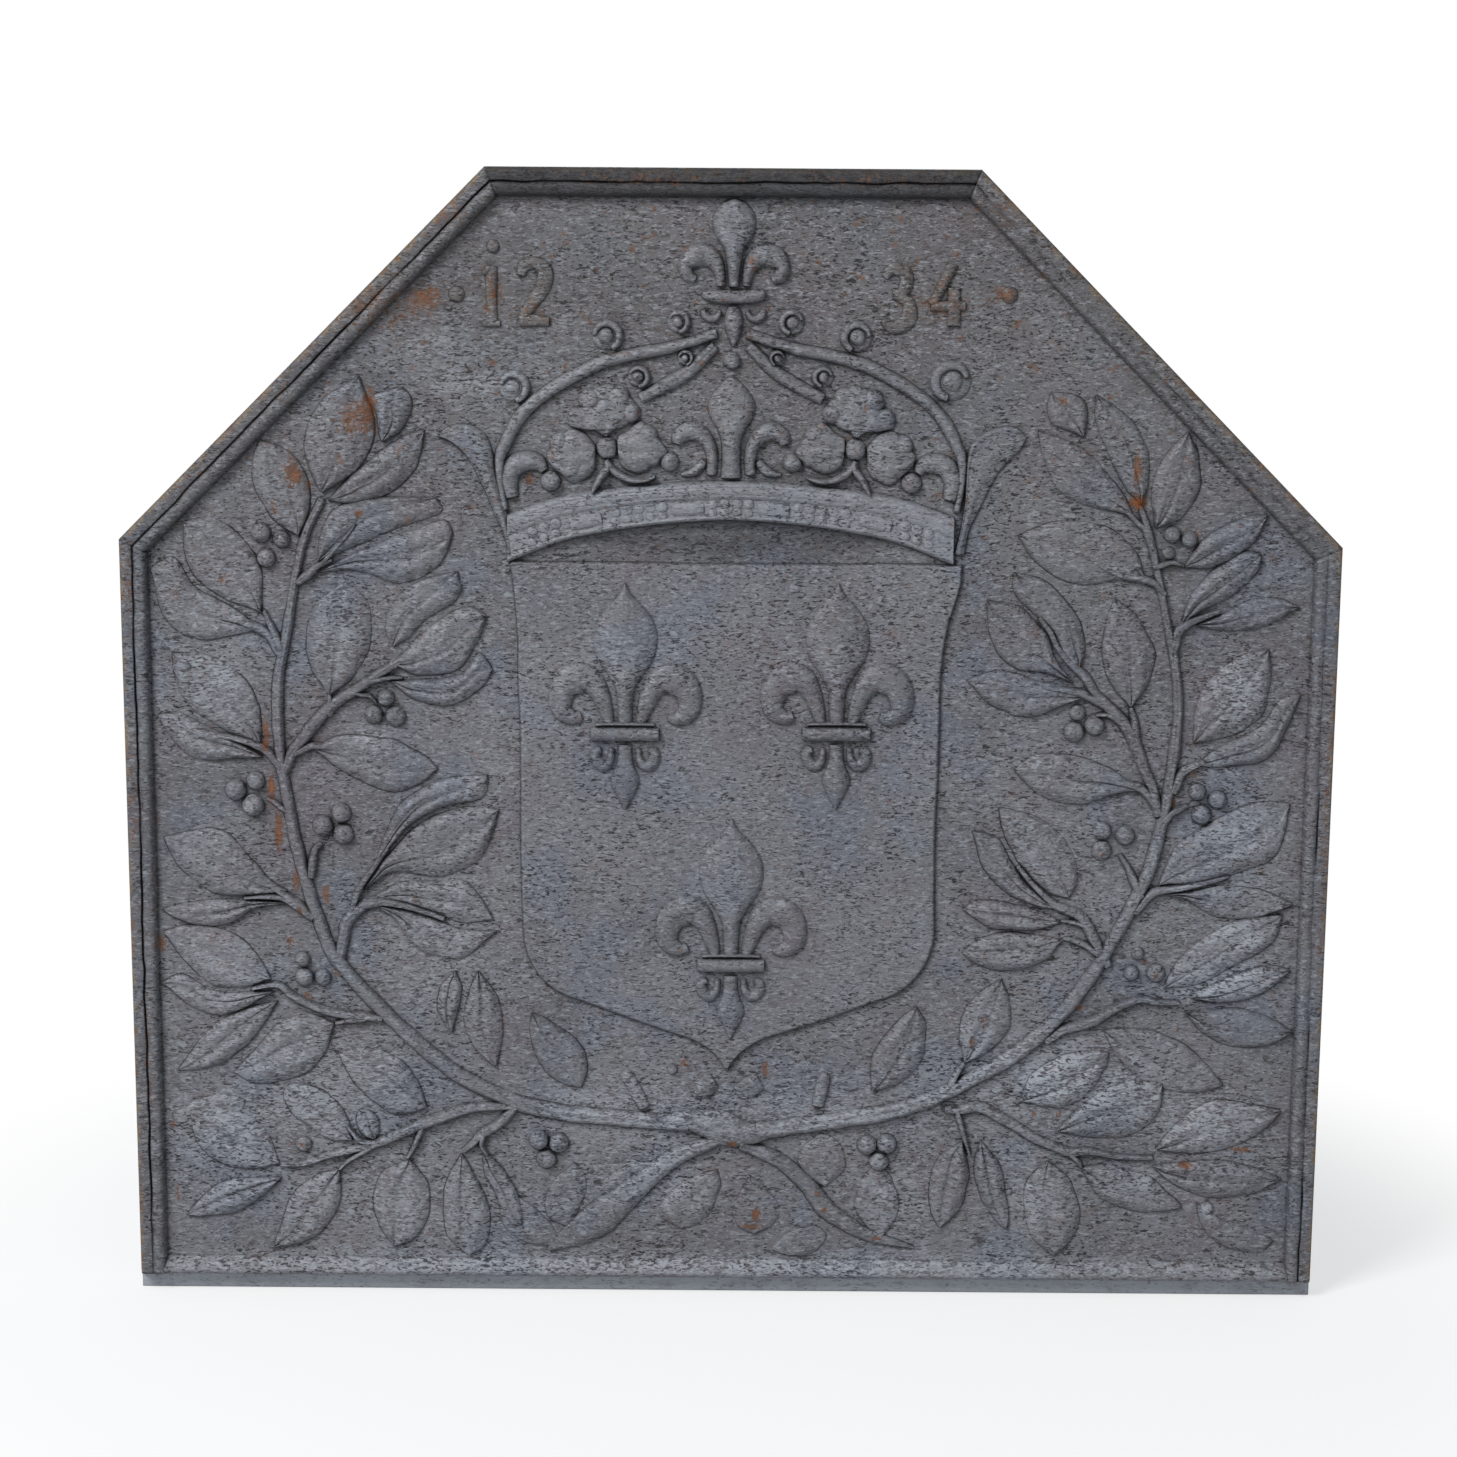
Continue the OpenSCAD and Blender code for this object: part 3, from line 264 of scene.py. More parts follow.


# the dark places on what is level with the ground, and painted shade along the crease where a form leaves its
# base: crease * (1 - height above the base / the crease's height) * a slow change along the line
def paintedShadeAndSoot(points, crease, base):
    x, y, z = points.T
    low = (y < groundY + markDeep["front"]) * (y > groundY - markDeep["ground"])
    slowly = 0.8 + 0.6 * roughness(x, z, 26, 14)
    creased = crease * np.clip(1 - (base - y) / markDeep["crease"], 0, 1) * slowly
    return marked(points, shadowAndSootPlaces) * low + creased


# one mesh from several shells, in metres at the origin, with a number per point each for rust, dust, soot
# with painted shade, and edge wear that the finish reads
def castPiece(name, shells, finish, nodes, wear=None, sootAndShade=None, crease=0.95, base=groundY):
    points = np.concatenate([s[0] for s in shells])
    front = points[:, 1] < groundY + markDeep["front"]
    if sootAndShade is None:
        sootAndShade = paintedShadeAndSoot(points, crease, base)
    marks = dict(rust=marked(points, rustPlaces) * front, dusted=marked(points, palePlaces) * front,
                 sootyShaded=np.clip(sootAndShade, 0, 1))
    if wear is not None:
        marks["wear"] = wear
    starts = np.cumsum([0] + [len(s[0]) for s in shells[:-1]])
    faces = [f + n for s, n in zip(shells, starts) for f in s[1]]
    sizes = np.concatenate([np.full(len(f), f.shape[1]) for f in faces])
    loops = np.concatenate([f.ravel() for f in faces])
    name = name.replace(" ", "_") + "_cast"
    mesh = bpy.data.meshes.new(name)
    mesh.vertices.add(len(points))
    mesh.vertices.foreach_set("co", (points * 0.001).ravel())
    mesh.loops.add(len(loops))
    mesh.loops.foreach_set("vertex_index", loops.astype(np.int32))
    mesh.polygons.add(len(sizes))
    mesh.polygons.foreach_set("loop_start", np.concatenate([[0], np.cumsum(sizes)[:-1]]).astype(np.int32))
    mesh.polygons.foreach_set("use_smooth", np.ones(len(sizes), bool))
    mesh.update(calc_edges=True)
    mesh.validate()
    for mark, values in marks.items():
        mesh.attributes.new(mark, "FLOAT", "POINT").data.foreach_set("value", np.asarray(values, np.float32))
    mesh.materials.append(finish)
    piece = bpy.data.objects.new(name, mesh)
    bpy.context.scene.collection.objects.link(piece)
    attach(piece, "root")
    if nodes:
        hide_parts(*nodes)


# sRGB hex to the linear colour that the shaders take
def toLinear(hexColour):
    s = np.array([int(hexColour[k:k + 2], 16) for k in (1, 3, 5)]) / 255
    return tuple(np.where(s <= 0.04045, s / 12.92, ((s + 0.055) / 1.055) ** 2.4)) + (1.0,)


# adds a node, sets its settings, then gives each named or numbered input a link or a plain value
def addNode(tree, kind, settings=None, **inputs):
    node = tree.nodes.new(kind)
    for key, value in (settings or {}).items():
        setattr(node, key, value)
    for key, value in inputs.items():
        numbered = key[0] == "i" and key[1:].isdigit()
        socket = node.inputs[int(key[1:])] if numbered else node.inputs[key.replace("_", " ")]
        if isinstance(value, bpy.types.NodeSocket):
            tree.links.new(value, socket)
        else:
            socket.default_value = value
    return node


ironLook = dict(
    skin="#68676c",        # bare sand-cast skin, a slightly purple grey
    skinPale="#75757a",
    warm="#5c5651",        # browner patches of the upper field, also the darker top that is partly painted shade
    blue="#646d7c",        # thin oxide that looks bluish
    violet="#6b6068",      # thicker oxide that looks violet brown
    dustAndHighlight="#a4a9b0",        # bluish white bloom and rubbed places, also the painted highlight on the wrinkles' lips and the paler foot
    sootAndShade="#1b1b1d",        # near black: soot and dark pits, and painted shade in creases, wrinkle grooves and under the forms
    rust="#6b4529",
    brightRust="#99541f",
    ochre="#8d7450",
    gritty="#98999b",
    dashLong=4.2, dashHigh=1.4,      # mm, wrinkles left by the wet sand
    pitLong=4.5, pitHigh=1.8,        # mm, pits where sand stuck
    patch=95, stain=58, blotch=17, wave=9, lump=5.5, grain=1.0,    # mm, sizes of the clouds
    lineReach=3.2, hollowReach=10,   # mm, how far the painted shade looks for a wall beside it
    lampTilt=(-0.25, 0, 0.4))            # painted shade, with some grime, falls under the forms on the side away from the lamp


# Grey iron cast in open sand: a dull skin full of short sideways wrinkles, each a dash darkened by painted
# shade with a lip below lightened by a painted highlight, a bluish bloom where it is dusty, painted shade
# with some grime under the forms and rust where water ran. Oxide hides the metal, so it is hardly metallic.
def sandCastIron(name, warmth=0.0, bloom=1.0, wrinkled=1.0, edgeWear=0.0, tone=0.0, shadeAndGrime=1.0, wavy=0.4):
    look = ironLook
    paint = {key: toLinear(value) for key, value in look.items() if isinstance(value, str)}
    material = bpy.data.materials.new("sand-cast iron, " + name)
    material.use_nodes = True
    tree = material.node_tree
    tree.nodes.clear()
    place = addNode(tree, "ShaderNodeTexCoord").outputs["Object"]

    # the place in units of the given millimetres
    def sized(mmX, mmY, mmZ):
        scale = (1000 / mmX, 1000 / mmY, 1000 / mmZ)
        return addNode(tree, "ShaderNodeMapping", Vector=place, Scale=scale).outputs[0]

    # an even curve that turns low to high into to0 to to1
    def ranged(value, low, high, to0=0.0, to1=1.0):
        smooth = dict(interpolation_type="SMOOTHSTEP")
        return addNode(tree, "ShaderNodeMapRange", smooth, Value=value, i1=low, i2=high, i3=to0,
                       i4=to1).outputs[0]

    def maths(kind, a, b):
        return addNode(tree, "ShaderNodeMath", dict(operation=kind), i0=a, i1=b).outputs[0]

    def times(a, b):
        return maths("MULTIPLY", a, b)

    def vectors(kind, a, b=(0, 0, 0)):
        return addNode(tree, "ShaderNodeVectorMath", dict(operation=kind), i0=a, i1=b).outputs[0]

    def blended(share, a, b, kind="MIX"):
        mix = dict(data_type="RGBA", blend_type=kind)
        return addNode(tree, "ShaderNodeMix", mix, i0=share, i6=a, i7=b).outputs[2]

    # soft noise of one size, or at a place that is already sized
    def cloud(mm, detail=3.0, distortion=0.0, at=None):
        return addNode(tree, "ShaderNodeTexNoise", Vector=at or sized(mm, mm, mm), Scale=1.0, Detail=detail,
                       Distortion=distortion).outputs[0]

    def mark(which):
        return addNode(tree, "ShaderNodeAttribute", dict(attribute_name=which)).outputs["Fac"]

    # painted shade: 1 where walls stand close by on the side towards the lamp, 0 in the open
    def closed(reach, low, high):
        around = addNode(tree, "ShaderNodeAmbientOcclusion", dict(samples=6), Distance=reach / 1000,
                         Normal=towardLamp)
        return ranged(around.outputs["AO"], low, high, 1.0, 0.0)

    patches, blotches = cloud(look["patch"], 4.0), cloud(look["blotch"], 4.0)
    stains, grain = cloud(look["stain"], 2.0), cloud(look["grain"], 2.0)
    ripple = cloud(0, 1.0, 1.1, sized(look["dashLong"], 5, look["dashHigh"]))
    dash = times(ranged(ripple, 0.4, 0.33), ranged(cloud(28, 2.0), 0.36, 0.62, 0.35, 1.0))
    lip = ranged(ripple, 0.56, 0.68)
    pitted = sized(look["pitLong"], 4, look["pitHigh"])
    cells = addNode(tree, "ShaderNodeTexVoronoi", dict(feature="F1"), Vector=pitted, Scale=1.0)
    chosen = addNode(tree, "ShaderNodeSeparateColor", Color=cells.outputs["Color"]).outputs[0]
    pits = times(ranged(cells.outputs["Distance"], 0.1, 0.3, 1.0, 0.0), ranged(chosen, 0.82, 0.86))
    # painted shade with some grime: occlusion is looked for on the side towards the lamp, as a narrow line
    # and a broad hollow
    normal = addNode(tree, "ShaderNodeNewGeometry").outputs["Normal"]
    towardLamp = vectors("NORMALIZE", vectors("ADD", normal, look["lampTilt"]))
    lineShade, hollowShade = closed(look["lineReach"], 0.42, 0.85), closed(look["hollowReach"], 0.35, 0.9)
    where = addNode(tree, "ShaderNodeSeparateXYZ", Vector=place)
    raised = ranged(where.outputs["Y"], (groundY - 1) / 1000, (groundY - 6.5) / 1000)
    upper = ranged(where.outputs["Z"], 0.40, 0.68)

    # the skin with its oxides, then bloom, wrinkles with painted shade and highlight, pits, wear, soot with
    # painted shade, and rust over one another
    colour = blended(ranged(patches, 0.36, 0.66), paint["skin"], paint["skinPale"])
    colour = blended(ranged(stains, 0.5, 0.68, 0.0, 0.45), colour, paint["blue"])
    colour = blended(ranged(stains, 0.5, 0.34, 0.0, 0.35), colour, paint["violet"])
    if tone:
        colour = blended(abs(tone), colour, paint["dustAndHighlight" if tone > 0 else "sootAndShade"])
    # towards the top the colour turns to the darker warm brown: partly the field's own brown, partly painted
    # shade against the lamp's stronger light up there
    colour = blended(times(upper, 0.26 + 0.5 * warmth), colour, paint["warm"])
    colour = blended(times(ranged(blotches, 0.48, 0.72), 0.2 + 0.3 * warmth), colour, paint["warm"])
    colour = blended(times(times(raised, ranged(blotches, 0.3, 0.7)), 0.14 * bloom), colour, paint["dustAndHighlight"])
    dusty = times(mark("dusted"), ranged(maths("ADD", ripple, times(blotches, 0.5)), 0.62, 0.86))
    colour = blended(times(dusty, bloom), colour, paint["dustAndHighlight"])
    # painted highlight on the lip of each wrinkle
    colour = blended(times(lip, 0.45), colour, paint["dustAndHighlight"])
    colour = blended(times(ranged(grain, 0.3, 0.75), 0.22), colour, paint["gritty"], "OVERLAY")
    # the wrinkle dashes darkened as painted shade in their grooves, together with the dark sand pits
    colour = blended(times(maths("MAXIMUM", dash, pits), 0.8 * wrinkled), colour, paint["sootAndShade"])
    if edgeWear:
        wear = mark("wear")
        for size, detail, low, high, what in ((6, 5.0, 0.4, 0.62, "ochre"), (13, 4.0, 0.54, 0.68, "rust")):
            worn = times(times(wear, ranged(cloud(size, detail), low, high)), edgeWear)
            colour = blended(worn, colour, paint[what])
    freckles = times(ranged(cloud(9, 5.0), 0.62, 0.74), ranged(upper, 0.0, 1.0, 0.25, 0.75))
    colour = blended(freckles, colour, paint["rust"])
    # the near-black colour laid on: soot and painted shade that each point carries, then painted shade with
    # some grime near walls towards the lamp
    for share, strength in ((mark("sootyShaded"), 0.8), (hollowShade, 0.3 * shadeAndGrime), (lineShade, 0.85 * shadeAndGrime)):
        colour = blended(times(share, strength), colour, paint["sootAndShade"])
    tatters = times(cloud(0, 4.0, 0.8, sized(2.0, 2.6, 3.2)), 1.5)
    rusted = maths("ADD", mark("rust"), tatters)
    colour = blended(times(ranged(rusted, 1.05, 1.35), 0.8), colour, paint["rust"])
    colour = blended(times(ranged(rusted, 1.5, 1.8), 0.75), colour, paint["brightRust"])

    # height of the fine relief in millimetres
    height = times(dash, -0.7 * wrinkled)
    for what, strength in ((pits, -0.6), (ripple, 0.5 * wrinkled), (grain, 0.14),
                           (cloud(look["lump"], 3.0), 0.5 * wrinkled), (cloud(look["wave"], 1.5, 0.6), wavy)):
        height = maths("ADD", height, times(what, strength))
    bump = addNode(tree, "ShaderNodeBump", Strength=0.9, Distance=0.001, Height=height)
    dull = ranged(blotches, 0.2, 0.8, 0.55, 0.72)
    shade = addNode(tree, "ShaderNodeBsdfPrincipled", Base_Color=colour, Metallic=0.15, Roughness=dull,
                    Normal=bump.outputs[0])
    addNode(tree, "ShaderNodeOutputMaterial", Surface=shade.outputs[0])
    return material


finishes = dict(
    ground=sandCastIron("field", 0.3, 0.8, wrinkled=1.15),
    # the foot strip is painted as pale as dust: painted light that evens out the shade it stands in; it gets
    # no painted shade
    foot=sandCastIron("foot strip", 0.0, 0.5, wrinkled=0.4, tone=1.0, shadeAndGrime=0.0),
    border=sandCastIron("border", 0.5, 0.7, edgeWear=0.9, tone=-0.22),
    sill=sandCastIron("sill", 0.1, 1.0, tone=-0.06),
    shield=sandCastIron("shield", 0.0, 1.0, wrinkled=1.15),
    lilies=sandCastIron("lilies", 0.1, 0.6, tone=-0.08, shadeAndGrime=0.6),
    crown=sandCastIron("crown", 0.05, 1.0, tone=0.1),
    band=sandCastIron("circlet", 0.0, 1.0, tone=0.34, shadeAndGrime=0.4),
    leaves=sandCastIron("leaves", 0.05, 1.0, wrinkled=0.95, wavy=2.4),
    stems=sandCastIron("stems", 0.0, 1.0, wrinkled=0.8, tone=-0.11, wavy=1.5),
    figures=sandCastIron("figures", 0.9, 0.5))
print("finishes made")


# corner of the plate's outline moved inwards by d: 0 bottom left, then clockwise
def corner(i, d):
    k = d * (math.sqrt(2) - 1)
    low, bend = plate["footHigh"], topZ - plate["cornerCut"] - k
    side, top = half - d, half - plate["cornerCut"] - k
    return pairs([-side, low, -side, bend, -top, topZ - d, top, topZ - d, side, bend, side, low])[i]


# the plate is a stack of level loops: across the front, round the right edge, across the back, round the
# left edge; each loop is as wide as the clipped outline at its height, and both faces roll gently like
# poured iron
def backPlate():
    shape = dict(straightRows=180, slopedRows=90, across=300,
                 even=10,      # this close to the edge the faces grow flat
                 wave=0.35, grain=0.15, backRoll=0.45, edgeRoll=0.35)
    bend = topZ - plate["cornerCut"]
    z = np.concatenate([np.linspace(plate["footHigh"], bend, shape["straightRows"]),
                        np.linspace(bend, topZ, shape["slopedRows"])[1:]])
    wide = np.minimum(half, half - (z - bend))[:, None]
    s = np.linspace(-1, 1, shape["across"])
    edge = np.array([0.1, 0.3, 0.5, 0.7, 0.9])
    side = np.repeat(wide, len(edge), 1)
    x = np.concatenate([wide * s, side, wide * s[::-1], -side], axis=1)
    y = np.concatenate([np.full(len(s), groundY), groundY + edge * plate["thick"],
                        np.full(len(s), backY), backY - edge * plate["thick"]])[None, :] + 0 * x
    z = z[:, None] + 0 * x
    room = [np.clip(gap / shape["even"], 0, 1) for gap in (half - np.abs(x), topZ - z, z - plate["footHigh"])]
    inside = room[0] * room[1] * room[2]
    turn = np.arange(x.shape[1])
    front = turn < len(s)
    rear = (turn >= len(s) + len(edge)) & (turn < 2 * len(s) + len(edge))
    y = y - front * inside * shape["wave"] * roughness(x, z, 46, 1)
    y = y - front * inside * shape["grain"] * roughness(x, z, 11, 4)
    y = y - rear * inside * shape["backRoll"] * (1 + roughness(x, z, 30, 8))
    x = x - np.sign(x) * ~(front | rear) * shape["edgeRoll"] * (1 + roughness(y * 3, z, 12, 6))
    shell = loopShell(np.stack([x, y, z], axis=-1)[::-1])
    castPiece("back plate", [shell], finishes["ground"], ["back_plate"], crease=0)


backPlate()


# a long bar: square loops with eased corners, carried along x, dented a little
def footStrip():
    shape = dict(steps=240, ease=1.0, dent=0.35)
    b, h, e = footThick / 2, plate["footHigh"], shape["ease"]
    loop = pairs([-b + e, 0, -b, e, -b, h * 0.35, -b, h * 0.7, -b, h, 0, h, b, h, b, h * 0.5, b, e,
                  b - e, 0, 0, 0])
    x = np.linspace(-half, half, shape["steps"])[:, None]
    y, z = loop[None, :, 0] + 0 * x, loop[None, :, 1] + 0 * x
    inside = (z > 0.5) & (z < h - 0.5)
    y = y - np.sign(y) * inside * shape["dent"] * (1 + roughness(x + 0 * y, 5 * y, 16, 2)) / 2
    shell = loopShell(np.stack([x + 0 * y, y, z], axis=-1))
    castPiece("foot strip", [shell], finishes["foot"], ["foot_strip"], crease=0)


footStrip()

# the section's share of the width from the outer edge and of the rise in turn; the other lists have a value
# for each length, clockwise from the left side
borderShape = dict(
    wide=18, rise=7, steps=56, step=2.2,
    section=[0, 0.05, 0.03, 0.42, 0.09, 0.7, 0.17, 0.8, 0.3, 0.82, 0.42, 0.8, 0.465, 0.72, 0.49, 0.42,
             0.51, 0.4, 0.535, 0.72, 0.6, 0.9, 0.7, 1.0, 0.8, 0.98, 0.88, 0.88, 0.94, 0.66, 0.975, 0.25,
             1.0, 0.02],
    clogged=[0.3, 0.3, 0.3, 0.85, 0.85],       # how far the groove is filled
    # how much of the near-black colour each length takes, most of all the top one
    sootAndShade=[0.15, 0.2, 1.0, 0.1, 0.0],
    inward=[1, 0, 0.7071, -0.7071, 0, -1, -0.7071, -0.7071, -1, 0],
    wornWide=4.2)                              # the outer edge is rubbed bare this far in


# one length of moulding between two mitres: the section is carried from corner to corner, its height and
# the place of its groove wander a little with the place on the plate, so neighbours meet at the mitre; the
# groove is clogged in parts, most of all on the right
def borderLength(i):
    shape = borderShape
    share = smoothThrough(pairs(shape["section"]), shape["steps"])[::-1]
    d, rise = share[:, 0] * shape["wide"], share[:, 1] * shape["rise"]
    a, b = np.array([corner(i, v) for v in d]), np.array([corner(i + 1, v) for v in d])
    long = np.linalg.norm(corner(i + 1, 0) - corner(i, 0))
    u = np.linspace(0, 1, int(long / shape["step"]))[:, None]
    x, z = (a[None, :, k] * (1 - u) + b[None, :, k] * u for k in (0, 1))
    middle = np.clip(np.sin(np.clip(d / shape["wide"], 0, 1) * math.pi), 0, 1)[None, :]
    clogged = np.clip(shape["clogged"][i] + 0.8 * roughness(x, z, 44, 2), 0, 1)
    groove = np.where(np.abs(share[:, 0] - 0.5) < 0.12, np.maximum(0.78 * shape["rise"] - rise, 0), 0)
    rise = rise + clogged * groove
    y = groundY - rise * (1 + 0.1 * roughness(x, z, 30, 3)) - 0.45 * middle * roughness(x, z, 7, 7)
    inward = pairs(shape["inward"])[i]
    shift = 0.9 * middle * roughness(x, z, 17, 9)
    x, z = x + inward[0] * shift, z + inward[1] * shift
    ragged = (d < 0.8)[None, :] * 0.4 * (1 + roughness(x, z, 6, 12))
    x, z = x + inward[0] * ragged, z + inward[1] * ragged

    def skirt(k, out):
        return np.stack([x[:, k] + inward[0] * out, 0 * x[:, 0] + groundY + relief["sink"],
                         z[:, k] + inward[1] * out], axis=-1)[:, None]
    grid = np.concatenate([skirt(0, 0.6), np.stack([x, y, z], axis=-1), skirt(-1, 0.1)], axis=1)
    edge = np.clip(1 - np.concatenate([[shape["wide"]], d, [0]]) / shape["wornWide"], 0, 1) ** 0.7
    return loopShell(grid), np.tile(edge, len(u))


for i, side in enumerate(["side left", "slope left", "top", "slope right", "side right"]):
    shell, wear = borderLength(i)
    sootAndShade = np.full(len(wear), borderShape["sootAndShade"][i])
    castPiece("border " + side, [shell], finishes["border"], ["rim_" + side.replace(" ", "_")], wear, sootAndShade)


# the sill: one slope that rises to the plate's lower edge
def sill():
    shape = dict(high=12, rise=6.3, steps=360, across=22, seam=0.15,
                 section=[1.0, 0.02, 0.86, 0.12, 0.7, 0.4, 0.55, 0.66, 0.4, 0.84, 0.25, 0.98, 0.12, 0.95,
                          0.04, 0.8, 0.0, 0.6])        # share of the height and of the rise, in turn
    share = smoothThrough(pairs(shape["section"]), shape["across"])[None]
    reach = half - borderShape["wide"] + 2
    x = np.linspace(-reach, reach, shape["steps"])[:, None]
    high = share[:, :, 0] * shape["high"] * (1 + 0.12 * roughness(x, 0 * x, 40, 5))
    z = plate["footHigh"] + shape["seam"] + high + 0 * x
    x = x + 0 * z
    lumpy = 0.35 * roughness(x, z, 8, 4) * np.sin(math.pi * share[:, :, 0])
    y = groundY - share[:, :, 1] * shape["rise"] - lumpy
    low, up = (np.stack([x[:, 0], 0 * x[:, 0] + groundY + relief["sink"], end], axis=-1)[:, None]
               for end in (z[:, -1], z[:, 0] + 0.5))
    grid = np.concatenate([low, up, np.stack([x, y, z], axis=-1)], axis=1)
    castPiece("border sill", [loopShell(grid[:, ::-1])], finishes["sill"], ["rim_sill"])


sill()
print("plate, foot and border cast")

shieldShape = dict(
    rise=3.5, bevel=2.4, rings=64, around=560, middle=[0, 345], sootyShaded=1.5,
    side=[136, 420, 135, 340, 134.5, 247],
    bend=dict(at=[89, 247], wide=45, high=46, start=-8, end=-78), below=[62, 189],
    point=[36, 180, 8, 173, 0, 153],           # start, pull and end of the sweep down to the point
    right=[148, 491, 147.5, 479, 144.5, 468, 140.5, 455, 137.5, 438],
    left=[-136, 440, -137.5, 460, -139.5, 477, -141.5, 491])


# half the outline below the corners is mirrored; the line is stepped evenly along its length and wavers by
# 0.7 mm
def shieldOutline():
    shape, bend, (p0, p1, p2) = shieldShape, shieldShape["bend"], pairs(shieldShape["point"])
    a = np.radians(np.linspace(bend["start"], bend["end"], 8))
    bow = np.linspace(0, 1, 9)[:, None]
    point = (1 - bow) ** 2 * p0 + 2 * bow * (1 - bow) * p1 + bow ** 2 * p2
    arc = np.stack([bend["wide"] * np.cos(a), bend["high"] * np.sin(a)], axis=1) + bend["at"]
    side = np.concatenate([pairs(shape["side"]), arc, [shape["below"]], point])
    around = np.concatenate([pairs(shape["right"]), side, (side * [-1, 1])[::-1][1:], pairs(shape["left"])])
    line = np.concatenate([around, around[:1]])
    run = np.concatenate([[0], np.cumsum(np.linalg.norm(np.diff(line, axis=0), axis=1))])
    at = np.linspace(0, run[-1], shape["around"], endpoint=False)
    x, z = (np.interp(at, run, line[:, k]) for k in (0, 1))
    return np.stack([x, z], axis=1) + 0.7 * np.stack([castNoise(x, z, 34, 3), castNoise(z, x, 41, 5)], axis=1)


# the outline is shrunk towards the middle in rings that crowd at the edge; the height climbs the bevel and
# then rolls
def shieldField():
    shape = shieldShape
    middle, outline = np.array(shape["middle"], float), shieldOutline()
    arm = outline - middle
    reach = np.linalg.norm(arm, axis=1)
    depth = np.linspace(0, 1, shape["rings"])[:-1, None] ** 2.1
    ring = 1 - depth
    x, z = (middle[k] + arm[None, :, k] * ring for k in (0, 1))
    inset = depth * reach[None, :]
    climb = np.clip(inset / shape["bevel"], 0, 1)
    lift = shape["rise"] * np.sin(climb * math.pi / 2) ** 0.8
    lift = lift + 0.3 * climb * roughness(x, z, 38, 11) + 0.12 * climb * roughness(x, z, 9, 12)
    y = groundY - lift - relief["film"]
    skirt = outline + arm / reach[:, None] * relief["splay"]
    skirt = np.stack([skirt[:, 0], 0 * reach + groundY + relief["sink"], skirt[:, 1]], axis=-1)[None]
    grid = np.concatenate([skirt, np.stack([x, y, z], axis=-1)])
    shell = domeShell(grid, [middle[0], groundY - shape["rise"], middle[1]], True)
    # painted shade along the shield's outline: full on the skirt, fading over the bevel's first 1.5 mm
    edge = 0.8 * np.clip(1 - inset.ravel() / shape["sootyShaded"], 0, 1)
    sootAndShade = np.concatenate([np.ones(len(reach)), edge, [0]])
    castPiece("shield field", [shell], finishes["shield"], ["shield_field"], sootAndShade=sootAndShade)


shieldField()
shieldFace = groundY - shieldShape["rise"]

# a horn is a fan between the shield's side and the arch: its two edges, from its foot in the shield's
# corner to its tip
horns = dict(
    left=([-140, 492, -145.5, 512, -150, 521, -154, 532, -159.5, 543, -164, 552.5, -170.5, 561, -179, 567.5,
           -186, 570.5],
          [-138.5, 495, -140, 512, -142.5, 524, -145.5, 536, -149, 547, -151, 560, -155, 571, -165, 577.5,
           -177, 577, -185.5, 571.5]),
    right=([143, 498, 146.5, 514, 148.5, 530, 149, 546, 149.5, 558, 152, 568, 160, 574.5, 171, 578.5,
            180, 578, 186, 572.5],
           [148.5, 496, 151.5, 512, 156, 522, 160.5, 532, 165.5, 542, 170, 550.5, 176, 557.5, 182, 563,
            186.5, 571]))


# a fan that stands high on its left and falls away to its right edge, with a thin lip along the left edge
def hornBack(t, u):
    lip = 0.18 * np.exp(-((t - 0.86) / 0.12) ** 2)
    fall = 0.78 - 0.5 * np.clip(-0.15 - t, 0, 1) + lip + 0.06 * np.sin(3.5 * t + 5 * u)
    return np.clip(1 - np.abs(t) ** 12, 0, 1) ** 0.5 * fall


for side, edges in horns.items():
    one, other = (smoothThrough(pairs(edge), 70) for edge in edges)
    horn = sheet(one, other, [4, 5, 6, 5.5, 3.6], hornBack, 35, edge=0.4)
    castPiece("shield horn " + side, [horn], finishes["shield"], ["shield_horn_" + side])

# A lily is a list of strokes round one point: line, widths, heights as shares of its rise, section,
# mirrored or not. The shield's lily is in hundredths of its width and height, the crown's two are in
# millimetres.
petalHigh = [0.6, 0.95, 1.05, 1.0, 0.75, 0.4]
curlHigh = [0.5, 0.8, 0.85, 0.8, 0.5]
bandHigh = [0.6, 0.9, 0.9, 0.6]
shieldLily = [
    ([0, 4.5, 0, 13, 0, 20, 0, 27, 0, 34, 0, 42, 0, 50, 0, 57, 0, 62, 0, 67],
     [9, 10, 12, 23, 36, 41, 37, 23, 9, 1.5], petalHigh, bulgeBack, False),
    ([10, 4.6, 12.5, 11, 16, 18, 22, 23.8, 30, 24.8, 38, 21.9, 41.5, 15.9, 40, 10, 33, 7, 28, 8],
     [6, 9.5, 12.5, 17, 20, 18.5, 16, 13, 9, 6], curlHigh, bulgeBack, True),
    ([-21, 0, -18, 0, 18, 0, 21, 0], [7, 9, 9, 7], bandHigh, roundBack, False),
    ([-19, 4.2, -10, 4.6, 10, 4.6, 19, 4.2], [1.8, 2.2, 2.2, 1.8], [0.55, 0.7, 0.55], roundBack, False),
    ([0, -5, 0, -10, 0, -15, 0, -20, 0, -24, 0, -29, 0, -34], [9, 9, 12, 18, 16, 9, 1.5],
     [0.6, 0.75, 0.75, 0.3], bulgeBack, False),
    ([8.5, -6.5, 9.5, -12, 13.5, -14.5, 18, -12.5, 19, -8.5, 15.5, -7], [3.5, 5, 7, 7.5, 6.5, 4],
     [0.5, 0.6], bulgeBack, True)]
